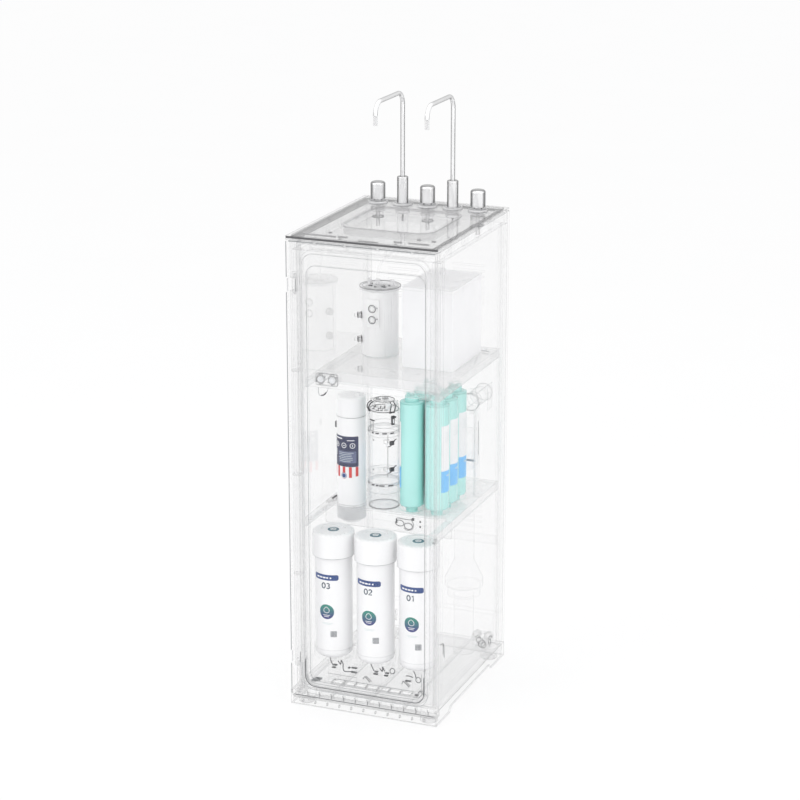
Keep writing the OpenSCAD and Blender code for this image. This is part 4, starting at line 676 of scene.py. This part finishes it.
for k in range(3):
    light.ribbon(oval((mem_s - 19 + 19 * k, CIRCLES_Z), 10.4, 10.4), 1.3, depth=MARK, closed=True)
light.badge(mem_s - 19, CIRCLES_Z, 4.2, 4.2, 2.1, depth=MARK)
light.badge(mem_s, CIRCLES_Z, 5.4, 1.4, 0.6, depth=MARK)
light.badge(mem_s + 19, CIRCLES_Z, 1.4, 5.4, 0.6, depth=MARK)
for k in range(4):
    light.badge(mem_s - 24, 527 - 3.4 * k, 8, 1.1, 0.4, depth=MARK)
light.wrap(MEMBRANE, MEMBRANE_R).save("membrane_label_marks", PRINT_WHITE, "housing")
panel = Form().badge(mem_s + 6, 514.5, 42, 26, 1.0, depth=(0.05, 0.36))
panel.wrap(MEMBRANE, MEMBRANE_R).save("membrane_label_panel", PRINT_SLATE, "housing")
rows = Form()
for k in range(6):
    rows.badge(mem_s + 4 - (k % 2) * 2, 524 - 3.8 * k, 34 - 4 * (k % 3), 0.9, 0.4,
               depth=(0.2, 0.48))
rows.wrap(MEMBRANE, MEMBRANE_R).save("membrane_label_rows", PRINT_FAINT, "housing")
Form().turned([(31.15, 374.2), (31.4, 374.6), (31.4, 402.6), (31.15, 403.0), (30.6, 403.0),
               (30.6, 374.2)], (*MEMBRANE, 0), hollow=True).save(
    "membrane_foot_sleeve", SLEEVE_GREY, "fitting")
seam = Form().ring((*MEMBRANE, 600.6), 31.3, 0.35)
seam.save("membrane_seam", SEAM_GREY, "fitting")
Form().slab((-129.5, -38, 576.5), (4.6, 6.5, 13), 1.2, 0.6).save("membrane_side_clip", DARK)

# Mineral filters: plain white and blue strips that face outwards
MINERAL_XS = (44.0, 100.0)
MINERAL_YS = (-42.1, 9.0, 60.1)
MINERAL_R = 25.4
WHITE_Z, BLUE_Z, STRIP_W = 557, 484.5, 43
for i, (x, side) in enumerate(zip(MINERAL_XS, (-90, 90))):
    for j, y in enumerate(MINERAL_YS):
        tag = "mineral_%s_%d" % (("left", "right")[i], j + 1)
        Form().badge(0, WHITE_Z, STRIP_W, 98, 1.5).wrap((x, y), MINERAL_R, side).save(
            tag + "_white", PRINT_WHITE, "mineral")
        Form().badge(0, BLUE_Z, STRIP_W, 47, 1.5).wrap((x, y), MINERAL_R, side).save(
            tag + "_blue", STRIP_BLUE, "mineral")
        lines = Form()
        for k in range(5):
            lines.badge(-2 + (k % 2) * 2, 590 - 4.4 * k, 22 - 5 * (k % 2), 1.2, 0.5,
                        depth=(0.1, 0.38))
        lines.badge(0, 497, 16, 2.0, 0.9, depth=(0.1, 0.38))
        lines.wrap((x, y), MINERAL_R, side).save(tag + "_lines", PRINT_FAINT, "mineral")
        rings = Form()
        for z, r in ((412.5, MINERAL_R), (647.0, MINERAL_R), (665.2, 15.0), (665.2, 9.0)):
            rings.ring((x, y, z), r, 0.35)
        rings.save(tag + "_seams", TEAL_DEEP, "mineral")


# Buffer tank: straps, latches, clamps and the fittings on its cap
BUFFER = (-23.0, -32.0)
BUFFER_R = 33.0


def buffer_way(azimuth):
    a = math.radians(azimuth)
    return (math.sin(a), -math.cos(a), 0)


def on_buffer(azimuth, r, z):
    x, y, _ = buffer_way(azimuth)
    return (BUFFER[0] + r * x, BUFFER[1] + r * y, z)


Form().ring((*BUFFER, 409.2), 31.6, 0.7).save("buffer_foot_ring", INK)
for name, z, marks in (("low", 461, ((-30, 9), (-12, 7), (-2, 5), (8, 12), (27, 12))),
                       ("high", 576, ((-30, 9), (-13, 5), (-2, 8), (14, 10), (30, 9)))):
    Form().turned([(33.0, z - 3), (33.6, z - 3), (33.6, z + 3), (33.0, z + 3)], (*BUFFER, 0),
                  hollow=True).save("buffer_strap_" + name, CLEAR_PART, "clear_tank")
    dashes = Form()
    for s, w in marks:
        dashes.badge(s, z, w, 2.6, 0.9, depth=(0.4, 1.1))
    dashes.wrap(BUFFER, BUFFER_R).save("buffer_strap_%s_teeth" % name, INK)
for k, z in enumerate((588, 567, 485.5, 442.5)):
    Form().ring((*BUFFER, z), 33.1, 0.3).save("buffer_line_%d" % (k + 1), SEAM_GREY,
                                              "clear_tank")
latch = Form()
latch.ribbon([(-20, 578), (-12.4, 578), (-12.4, 600), (-20, 600)], 1.0, closed=True)
latch.badge(-16.2, 602.4, 16, 2.6, 1.0)
latch.wrap(BUFFER, BUFFER_R).save("buffer_latch", INK)
rail = Form()
rail.badge(20.7, 526, 0.9, 92, 0.4)
rail.wrap(BUFFER, BUFFER_R).save("buffer_clamp_rail", INK)
for k, z in enumerate((555, 497)):
    clamp = Form()
    clamp.slab(on_buffer(50, 35.0, z), (10, 9, 4), 1.5, 0.5, buffer_way(50))
    clamp.tube([on_buffer(30, 34.2, z - 6), on_buffer(40, 36.5, z - 7), on_buffer(50, 38.0, z - 2),
                on_buffer(60, 36.5, z + 6), on_buffer(70, 34.2, z + 6)], 1.1)
    clamp.save("buffer_clamp_%d" % (k + 1), INK)
    wing = Form()
    wing.slab(on_buffer(34, 35.2, z - 3), (7, 7, 2.4), 2.0, 0.5, buffer_way(34))
    wing.save("buffer_clamp_%d_wing" % (k + 1), PRINT_WHITE, "clear_tank")
for k, (azimuth, z) in enumerate(((-20, 560), (-20, 495))):
    Form().turned([(0.1, 0), (1.8, 0), (1.8, 0.8), (0.1, 1.2)], on_buffer(azimuth, 33.0, z),
                  buffer_way(azimuth)).save("buffer_pin_%d" % (k + 1), SEAM_GREY, "clear_tank")
clip = Form()
clip.slab(on_buffer(55, 34.2, 604), (8, 20, 3.0), 1.5, 0.5, buffer_way(55))
clip.slab(on_buffer(55, 36.4, 611), (12, 4, 3.0), 1.2, 0.5, buffer_way(55))
clip.save("buffer_side_clip", INK)
Form().slab(on_buffer(55, 36.6, 603), (3, 9, 1.6), 0.8, 0.3, buffer_way(55)).save(
    "buffer_side_clip_tab", PRINT_WHITE, "clear_tank")
wings = Form()
for azimuth in (-62, -44, 44, 62):
    wings.tube(smooth([on_buffer(azimuth, 32, 619), on_buffer(azimuth, 35.5, 627),
                       on_buffer(azimuth + 5, 33, 636), on_buffer(azimuth + 8, 26, 641.5)]), 1.2)
for way in (-1, 1):
    wings.tube(smooth([on_buffer(way * a, r, z) for a, r, z in ((62, 33, 620), (53, 34.5, 621),
                                                               (44, 33, 620))]), 1.1)
wings.save("buffer_cap_wing", INK)
seams = Form()
seams.ring((*BUFFER, 621.3), 30.5, 0.7)
seams.ring((*BUFFER, 641.2), 22.0, 0.6)
seams.save("buffer_cap_seams", INK)
caps = Form()
for x, y, r, h in ((-6, -16, 5.5, 5.0), (8, -13, 4.0, 7.0), (-14, -5, 4.2, 4.0), (2, 2, 7.0, 3.0)):
    caps.turned([(0.1, 0), (r, 0), (r, h - 1), (r - 1, h), (0.1, h)],
                (BUFFER[0] + x, BUFFER[1] + y, 641))
caps.save("buffer_cap_fittings", CLEAR_PART, "clear_tank")
knots = Form()
for x, y, r, z in ((-6, -16, 4.6, 645.5), (8, -13, 3.2, 647.5), (-14, -5, 3.4, 644.5),
                   (2, 2, 6.0, 643.8)):
    knots.ring((BUFFER[0] + x, BUFFER[1] + y, z), r, 0.5, steps=24)
for azimuth, z, w in ((-24, 627, 7), (-15, 632, 3), (-4, 625.5, 9), (6, 630, 4), (12, 626, 5),
                       (22, 631, 3), (30, 627, 8)):
    knots.slab(on_buffer(azimuth, 30.6, z), (w, 1.8, 1.6), 0.8, 0.3, buffer_way(azimuth))
    knots.slab(on_buffer(azimuth + 3, 30.6, z + 3), (1.6, 6, 1.6), 0.7, 0.3,
               buffer_way(azimuth + 3))
knots.save("buffer_cap_knots", INK)
Form().slab(on_buffer(40, 28, 634), (11, 13, 9), 2.5, 1.0, buffer_way(40)).save(
    "buffer_cap_block", PRINT_WHITE, "clear_tank")

# Hot tank: rims, thermostat rings with their ears, and terminals
HOT = (-75.0, 74.0)
LID_Z = 857.0
rims = Form()
rims.ring((*HOT, LID_Z), 43.7, 0.5)
rims.ring((*HOT, LID_Z + 0.3), 37.5, 0.3)
rims.save("hot_lid_rims", INK)
studs = Form()
for x, y, w, d in ((-17, -12, 9, 4), (-3, -20, 5, 3), (14, -14, 10, 4), (20, 2, 5, 3),
                   (-22, 6, 6, 3), (6, -4, 12, 3)):
    studs.slab((HOT[0] + x, HOT[1] + y, LID_Z + 0.9), (w, d, 1.8), 1.0, 0.4)
studs.save("hot_lid_studs", SEAM_DARK)
for k, z in enumerate((816, 792)):
    rim = Form()
    rim.ring((HOT[0], 28.6, z), 7.9, 0.75, axis=FRONT)
    rim.ring((HOT[0], 28.5, z), 5.4, 0.25, axis=FRONT)
    rim.slab((HOT[0] + 10.0, 31.5, z + 2), (2.4, 1.6, 1.2), 0.7, 0.3, FRONT)
    rim.save("hot_thermostat_%d_rim" % (k + 1), INK)
port_way = Vector((-math.cos(math.radians(30)), -math.sin(math.radians(30)), 0))
for k, z in enumerate((794, 741)):
    nut = Form()
    nut.turned([(4.2, 40.0), (7.2, 40.0), (7.2, 47.5), (4.2, 47.5)], (*HOT, z), port_way, steps=6,
               hollow=True)
    nut.save("hot_port_nut_%d" % (k + 1), CLEAR_PART, "fitting")
    nut = Form()
    for d, r in ((47.8, 6.4), (47.8, 3.8), (40.2, 7.4)):
        nut.ring(Vector((*HOT, z)) + port_way * d, r, 0.6, axis=port_way, steps=24)
    nut.save("hot_port_rims_%d" % (k + 1), INK)
line = Form()
line.tube([(HOT[0] - 38.6, HOT[1] - 6.5, 712), (HOT[0] - 38.6, HOT[1] - 6.5, 848)], 0.5)
line.save("hot_tank_seam", SEAM_DARK, "steel")

# Fascia: the plate that carries the switches, their marks and a hook below
FASCIA_Y = -152.6
SWITCH_XS = (-111.5, -85.5)
SWITCH_Y = -157.7
Form().slab((-98.2, FASCIA_Y, 709.5), (48, 25, 3), 3.0, 0.6, FRONT).save(
    "switch_plate", CLEAR_FRAME, "clear_frame")
marks = Form()
for x in SWITCH_XS:
    marks.ring((x, SWITCH_Y, 710), 9.2, 0.35, axis=FRONT)
    for dx, z, w, h in ((-1.5, 721.5, 3.4, 1.3), (3.2, 723.2, 1.5, 2.2), (-4.2, 719.6, 1.4, 1.8),
                        (-1.5, 698.8, 4.6, 1.3), (3.8, 700.6, 1.4, 2.2), (9.6, 716.4, 1.3, 3.2),
                        (-9.8, 704.2, 1.3, 3.0)):
        marks.slab((x + dx, SWITCH_Y, z), (w, h, 0.8), 0.5, 0.2, FRONT)
marks.tube(loop((-122.3, 697), (-74.2, 722.2), 4, SWITCH_Y + 0.1), 0.4, closed=True)
marks.save("switch_marks", SEAM_DARK)
hook = Form()
hook.tube(smooth(upright([(-119.0, 691), (-118.8, 679), (-114.5, 672.8), (-105, 677),
                          (-98.5, 685), (-96.8, 693)], -153.2)), 0.55)
hook.save("switch_hook", SEAM_GREY)
pad = upright([(-112.5, 673.2), (-106.5, 675.6), (-101.5, 681)], FASCIA_Y)
Form().tube(smooth(pad), 1.4).save("switch_hook_pad", INK)

# Middle compartment: clip on the shelf, post and lines at the right wall
Form().slab((-139, -44, 410), (12, 44, 4), 5.5, 1.0).save("shelf_clip", CLEAR_PART, "clear_frame")
Form().slab((-135.5, -36, 412.4), (5, 24, 1.6), 2.3, 0.5).save("shelf_clip_lug", INK)
Form().slab((145.6, 62.5, 514), (9, 190, 3), 1.4, 0.5, LEFT).save("wall_post", FASCIA, "shelf")
post_lines = Form()
post_lines.slab((146.6, 57.2, 500), (0.7, 160, 0.6), 0.3, 0.2, LEFT)
post_lines.save("wall_post_edge", SOFT_GREY)
Form().slab((146.6, 80, 543), (1.5, 76, 0.8), 0.6, 0.3, LEFT).save("wall_post_line", SEAM_DARK)
Form().slab((127.6, 84.6, 489.8), (18, 4.5, 2.2), 1.5, 0.5, FRONT).save("rack_lug", SEAM_GREY)

PUMP_X, PUMP_Z, PUMP_R = 122.9, 616, 18.8
PUMP_ENDS = (90.4, 176.6)
pump = Form()
for y in (*PUMP_ENDS, 96):
    pump.ring((PUMP_X, y, PUMP_Z), PUMP_R, 0.5, axis=FRONT, steps=40)
for a in (math.radians(60), math.radians(240)):
    pump.tube([(PUMP_X + PUMP_R * math.cos(a), y, PUMP_Z + PUMP_R * math.sin(a))
               for y in PUMP_ENDS], 0.45)
pump.save("pump_outline", SEAM_GREY)
HOSE_Z = 711
behind = Form()
behind.tube(smooth([(84, 58, HOSE_Z), (84, 104, HOSE_Z), (100, 152, HOSE_Z), (118, 165, HOSE_Z),
                    (140, 160, HOSE_Z)]), 1.1)
behind.tube(smooth([(128, 122, HOSE_Z), (134, 92, HOSE_Z), (140, 70, HOSE_Z)]), 0.8)
behind.save("shelf_hose", SOFT_GREY, "tube")
latchwork = Form()
for y, z, w, h in ((-181, 396, 5, 3), (-172, 392, 7, 4), (-165, 397, 3, 6), (-176, 401, 4, 2)):
    latchwork.slab((146.2, y, z), (w, h, 1.6), 0.8, 0.3, LEFT)
latchwork.save("wall_latch", SEAM_DARK)

# Apron: a connector with two loops, a bar and two screws
APRON_Y = -68.5
loops = Form()
for x, z, w, h in ((27, 385.5, 19, 13), (46.5, 381, 18, 14)):
    loops.tube(upright(oval((x, z), w, h), APRON_Y), 0.8, closed=True)
for points, r in ((((18.5, 388), (21, 396), (38, 395.5), (52, 396), (58, 401)), 0.7),
                  (((36, 376), (44, 371.5), (56, 376), (57.5, 388), (53, 396)), 0.6)):
    loops.tube(smooth(upright(points, APRON_Y)), r)
loops.slab((57, APRON_Y, 397.5), (5.5, 6, 1.6), 1.0, 0.4, FRONT)
loops.slab((20, APRON_Y, 389), (3.6, 9, 1.6), 1.0, 0.4, FRONT)
loops.save("apron_connector", SEAM_DARK)
screws = Form()
for z in (393.6, 382.5):
    screws.turned([(0.1, 0), (2.1, 0), (1.8, 0.9), (0.8, 1.2), (0.1, 0.9)], (72.9, -67.5, z),
                  FRONT, steps=20)
screws.save("apron_screws", INK)

# Bottom compartment: straps, bars and necks under the prefilters, and what lies on the deck
STRAP_Y = -137
STRAPS = (((-105, 87), (-103, 79), (-99, 72), (-91, 73)),
          ((-87, 82), (-81, 75), (-79, 84), (-75, 76)),
          ((-75, 76), (-75, 65), (-71, 60), (-59, 61), (-45, 60)),
          ((-11, 86), (-7, 78), (-4, 72)), ((9, 80), (15, 74), (16, 84), (20, 75)),
          ((86, 86), (90, 78), (92, 69)), ((69, 72), (76, 73), (85, 71)), ((110, 88), (113, 94)))
BARS = ((-94, 71.5, 11), (-96, 65.5, 9), (-61, 70, 5), (-49, 71.5, 13), (-50, 61.5, 14),
        (1.5, 71, 8), (0, 65.5, 11), (26, 71.5, 9), (24, 65.5, 9), (74, 61.5, 13))
straps = Form()
for points in STRAPS:
    straps.tube(smooth(upright(points, STRAP_Y)), 1.1)
for x, z, w in BARS:
    straps.slab((x, STRAP_Y, z), (w, 2.8, 5), 1.2, 0.5, FRONT)
for x, z in ((38, 78), (97, 67)):
    straps.ring((x, STRAP_Y, z), 5.6, 0.9, axis=(0, -1, 0.2), steps=24)
straps.save("prefilter_straps", SEAM_DARK)
necks = Form()
for x, z, r in ((-96, 80, 4.4), (-70, 78, 4.6), (-48, 66, 5.2), (1, 80, 4.6), (25, 80, 5.0),
                (38, 78, 4.6), (97, 76, 5.4), (76, 66.5, 5.6)):
    necks.turned([(0.1, -9), (r, -9), (r, 5), (r * 0.7, 8), (r * 0.7, 14), (0.1, 14)], (x, -135, z),
                 (0.1, 0, 1), steps=24)
necks.save("prefilter_necks", HEADS, "fitting")
BENT = ((-9, 4, 34), (-4, 2, 41), (10, -5, 33))
WAVED = ((11, -5, 33), (4, -1, 36), (-5, 1, 42), (-9, 4, 32.8))
for k, (x, y, shape) in enumerate(((-34, -108, BENT), (52, -100, WAVED), (103, -134, BENT))):
    spring = Form()
    spring.tube([(x + dx, y + dy, z) for dx, dy, z in shape], 0.9)
    spring.tube([(x - 3, y + 7, 40), (x + 12, y, 33)], 0.7)
    spring.save("deck_clip_%d" % (k + 1), SEAM_DARK)
grille = Form()
for k in range(5):
    grille.slab((-141 + 3.6 * k, -147 + 2.0 * k, 34), (2.4, 21 - abs(k - 2) * 4, 3.6), 0.8, 0.3)
grille.slab((-133, -139, 36), (12, 3, 2.4), 0.8, 0.3)
grille.save("deck_grille", SEAM_GREY)
DECK_Z = 32.3
CELL_ROW = (-143.5, -122.5)
CELL_X = -101
cells = Form()
for k in range(8):
    cells.tube([(CELL_X + 26 * k, y, DECK_Z) for y in CELL_ROW], 0.55)
for y in CELL_ROW:
    cells.tube([(CELL_X, y, DECK_Z), (81, y, DECK_Z)], 0.55)
cells.tube([(-128, -100, DECK_Z), (-60, -100, DECK_Z), (-52, -118, DECK_Z)], 0.45)
cells.save("deck_cells", SEAM_GREY)
Form().turned([(0.1, 0), (4.2, 0.4), (4.6, 2.2), (3.2, 3.6), (0.1, 4.0)], (94.4, -140, 32)).save(
    "deck_knob", SEAM_DARK)
rods = Form()
rods.tube(smooth([(146.4, -139, 155), (146.4, -126, 153), (146.2, -117, 146),
                  (146.2, -115, 118)]), 0.9)
rods.tube([(146.4, -122, 150), (146.4, -122, 128)], 0.6)
rods.save("wall_hook", SEAM_DARK)
frames = Form()
for x, y, z, r, way in ((130, 160, 40, 8.0, (1, -1, 0)), (137, 153, 40, 6.0, (1, -1, 0)),
                        (118, 180, 38, 7.5, FRONT), (143, 176, 40, 7.0, (1, 0, 0))):
    frames.ring((x, y, z), r, 0.8, axis=way, steps=28)
frames.tube(smooth([(112, 170, 50), (120, 164, 56), (129, 158, 50)]), 0.9)
frames.tube(smooth([(143, 168, 52), (145, 176, 55), (145, 184, 48)]), 0.9)
frames.save("water_fitting_rims", SEAM_DARK)

# Door: seal lines round the window, ribs in the bottom rail and clips in the top rail
DOOR_Y = -206.6
seal = Form()
seal.tube(loop((-129.9, 49.6), (138.4, 984.4), 24.4, -207.1), 0.36, closed=True)
seal.save("door_window_line", SEAM_GREY, "gasket", body="door")
Form().tube(loop((-124.9, 54.6), (133.4, 957.4), 20.4, -195.9), 0.42, closed=True).save(
    "door_liner_line", SEAM_GREY, "gasket", body="door")
for k, (x0, x1, z0, corner, y, r, mat) in enumerate((
        (-128.0, 132.0, 54.0, 20.0, -206.9, 0.5, SEAM_GREY),
        (-131.5, 136.5, 46.5, 23.0, -206.4, 1.05, SEAM_DARK),
        (-137.5, 145.0, 38.8, 29.0, -206.7, 0.75, SOFT_GREY))):
    turn = z0 + corner
    rail = [(x0, z0 + 60), (x0, turn), *arc((x0 + corner, turn), corner, 180, 270, 10),
            *arc((x1 - corner, turn), corner, 270, 360, 10), (x1, turn), (x1, z0 + 60)]
    Form().tube(upright(rail, y), r).save("door_seal_%d" % (k + 1), mat, "gasket", body="door")
ribs = Form()
for k in range(11):
    x = -129 + 27.3 * k
    ribs.tube(smooth([(x, DOOR_Y, 35), (x + 2.5, DOOR_Y, 30), (x + 2, DOOR_Y, 23)], 3), 0.6, 6)
ribs.slab((0, -206.9, 22.2), (318, 1.6, 1.0), 0.3, 0.2, FRONT)
ribs.save("door_rail_ribs", SEAM_DARK, "clear_frame", body="door")
rail_spans = ((-158, -103), (-98, -38), (-33, 33), (38, 107), (112, 158))
top_lines, rail_clips = Form(), Form()
for low, high in rail_spans:
    top_lines.slab(((low + high) / 2, -206.9, 1006.9), (high - low, 2.2, 1.0), 0.8, 0.3, FRONT)
for low, high in zip(rail_spans, rail_spans[1:]):
    rail_clips.slab(((low[1] + high[0]) / 2, -206.4, 1005.6), (9, 4.4, 1.6), 1.2, 0.4, FRONT)
top_lines.save("door_rail_lines", SEAM_GREY, "clear_frame", body="door")
rail_clips.save("door_rail_clips", CLEAR_PART, "clear_frame", body="door")
side_lines = Form()
for low, high in ((24, 92), (122, 900), (932, 1006)):
    side_lines.tube([(-163.9, -205.8, low), (-163.9, -205.8, high)], 0.9)
side_lines.save("cabinet_edge_line", SEAM_GREY, "clear_shell")
notches, bars = Form(), Form()
for z, h in ((916.4, 27), (109.3, 24)):
    notches.slab((-160.9, DOOR_Y, z), (1.2, h, 1.0), 0.4, 0.3, FRONT)
    bars.slab((-143.0, DOOR_Y - 0.1, z), (1.3, h, 1.0), 0.5, 0.3, FRONT)
notches.save("hinge_notch_lines", SOFT_GREY, "clear_shell")
bars.save("hinge_bars", SEAM_DARK, body="door")

# Top: the dark front edge of the glass, trims and screws under it
Form().slab((0, -206.8, 1014.7), (327, 1.2, 4.4), 0.5, 0.3).save("top_edge_strip", INK, "bezel")
trims = Form()
for low, high, y, w in ((-158, -74, -159, 3), (-71, -50, -157, 5), (50, 67, -157, 3),
                        (81, 126, -156.5, 3), (87, 95, -123, 5), (119, 128, -126, 5),
                        (-20, 24, -176, 2), (-104, -96, -128, 5)):
    trims.slab(((low + high) / 2, y, 1012), (high - low, w, 3.4), 0.8, 0.4)
trims.save("top_trims", INK)
top_screws = Form()
for x, y in (*((x, y) for x in (-144, 144) for y in (-120, -33, 31, 121)),
             (-60, -172), (60, -172), (-60, 190), (60, 190)):
    top_screws.turned([(0.1, 0), (3.4, 0), (3.4, 1.0), (2.2, 1.8), (0.1, 1.8)], (x, y, 1010.9),
                      steps=24)
top_screws.save("top_screws", INK)
FRAME_Z = 1012.2
lines = Form()
for x in (-158.5, -153, -146, -139, 146, 153):
    lines.slab((x, 0, FRAME_Z), (1.5, 392, 2.6), 0.3, 0.2)
for y, w in ((-196, 300), (188, 280), (196, 304)):
    lines.slab((0, y, FRAME_Z), (w, 1.4, 2.6), 0.3, 0.2)
for x in (-150, 150):
    for y in (-168, -96, -20, 60, 132, 176):
        lines.slab((x, y, FRAME_Z), (8, 1.8, 2.6), 0.3, 0.2)
lines.save("top_frame_lines", INK, "bezel")
TAP_XS = (-110.992, -54.496, 2.0, 58.496, 114.992)
TAP_Y = 150
KNOB_RIMS = ((1017.6, 20.8, 0.35), (1022.2, 17.5, 0.3), (986.4, 11.9, 1.3), (1003, 12.2, 0.5))
SPOUT_RIMS = ((1017.6, 20.8, 0.35), (1022.2, 17.5, 0.3), (953.6, 11.9, 0.4))
for k, x in enumerate(TAP_XS):
    rims = Form()
    for z, r, wire in (KNOB_RIMS, SPOUT_RIMS)[k % 2]:
        rims.ring((x, TAP_Y, z), r, wire)
    if k % 2 == 0:
        rims.slab((x, TAP_Y, 982), (7, 7, 7), 2.0, 0.8)
    else:
        rims.slab((x, TAP_Y, 989), (4, 4, 16), 1.4, 0.8)
    rims.save("tap_%d_rims" % (k + 1), SEAM_DARK)

# Floor, world and lights
floor_mesh = bmesh.new()
bmesh.ops.create_grid(floor_mesh, x_segments=1, y_segments=1, size=14)
floor_data = bpy.data.meshes.new("floor")
floor_mesh.to_mesh(floor_data)
floor = bpy.data.objects.new("floor", floor_data)
scene.collection.objects.link(floor)
floor_mat = Mat("floor_white")
floor_tone = floor_mat.mix(floor_mat.spread(floor_mat.noise(3.0, 3.0), 0.0, 1.0),
                           grey(0.96), grey(0.98))
floor_lit = floor_mat.principled(floor_tone, 0.9, Specular_IOR_Level=0.0)
floor_white = floor_mat.n("ShaderNodeEmission").outputs[0]
floor_data.materials.append(floor_mat.done(floor_mat.blend(
    floor_mat.math("MULTIPLY", floor_mat.seen(), 0.8), floor_lit, floor_white)))

world = bpy.data.worlds.new("studio")
scene.world = world
world.use_nodes = True
sky = Nodes(world.node_tree, "ShaderNodeOutputWorld")
skies = []
for strength in (0.92, 1.0):
    back = sky.n("ShaderNodeBackground")
    back.inputs["Color"].default_value = (1, 1, 1, 1)
    back.inputs["Strength"].default_value = strength
    skies.append(back.outputs[0])
sky.done(sky.blend(sky.seen(), *skies))


def area(name, place, aim_at, size, power):
    data = bpy.data.lights.new(name, "AREA")
    data.shape = "RECTANGLE"
    data.size, data.size_y = size
    data.energy = power
    lamp = bpy.data.objects.new(name, data)
    scene.collection.objects.link(lamp)
    lamp.location = place
    lamp.rotation_euler = (Vector(aim_at) - Vector(place)).to_track_quat("-Z", "Y").to_euler()


area("key", (-2.2, -2.6, 3.2), (0, 0, 0.6), (1.6, 1.6), 30)
area("fill", (3.0, -1.2, 1.6), (0, 0, 0.6), (1.4, 2.2), 13)
area("top", (0, 0.4, 3.6), (0, 0, 0.8), (2.0, 2.0), 12)


def card(name, azimuth, away, width, low, high):
    """An upright dark card at an azimuth, which only metal and glass reflect."""
    a = math.radians(azimuth)
    side = Vector((math.cos(a), math.sin(a), 0)) * width / 2
    middle = Vector((math.sin(a), -math.cos(a), 0)) * away
    data = bpy.data.meshes.new(name)
    corners = ((-1, low), (1, low), (1, high), (-1, high))
    data.from_pydata([middle + side * s + Vector((0, 0, z)) for s, z in corners],
                     [], [(0, 1, 2, 3)])
    obj = bpy.data.objects.new(name, data)
    scene.collection.objects.link(obj)
    m = Mat(name)
    tone = m.mix(m.spread(m.noise(2.0), 0.0, 1.0), grey(0.02), grey(0.04))
    data.materials.append(m.done(m.principled(tone, 0.9)))
    for way in ("camera", "diffuse", "shadow", "transmission", "volume_scatter"):
        setattr(obj, "visible_" + way, False)


for k, (azimuth, width) in enumerate(((112, 0.7), (-68, 0.7), (143, 0.3), (-99, 0.3))):
    card("card_%d" % (k + 1), azimuth, 1.7, width, 0.02, 0.95)
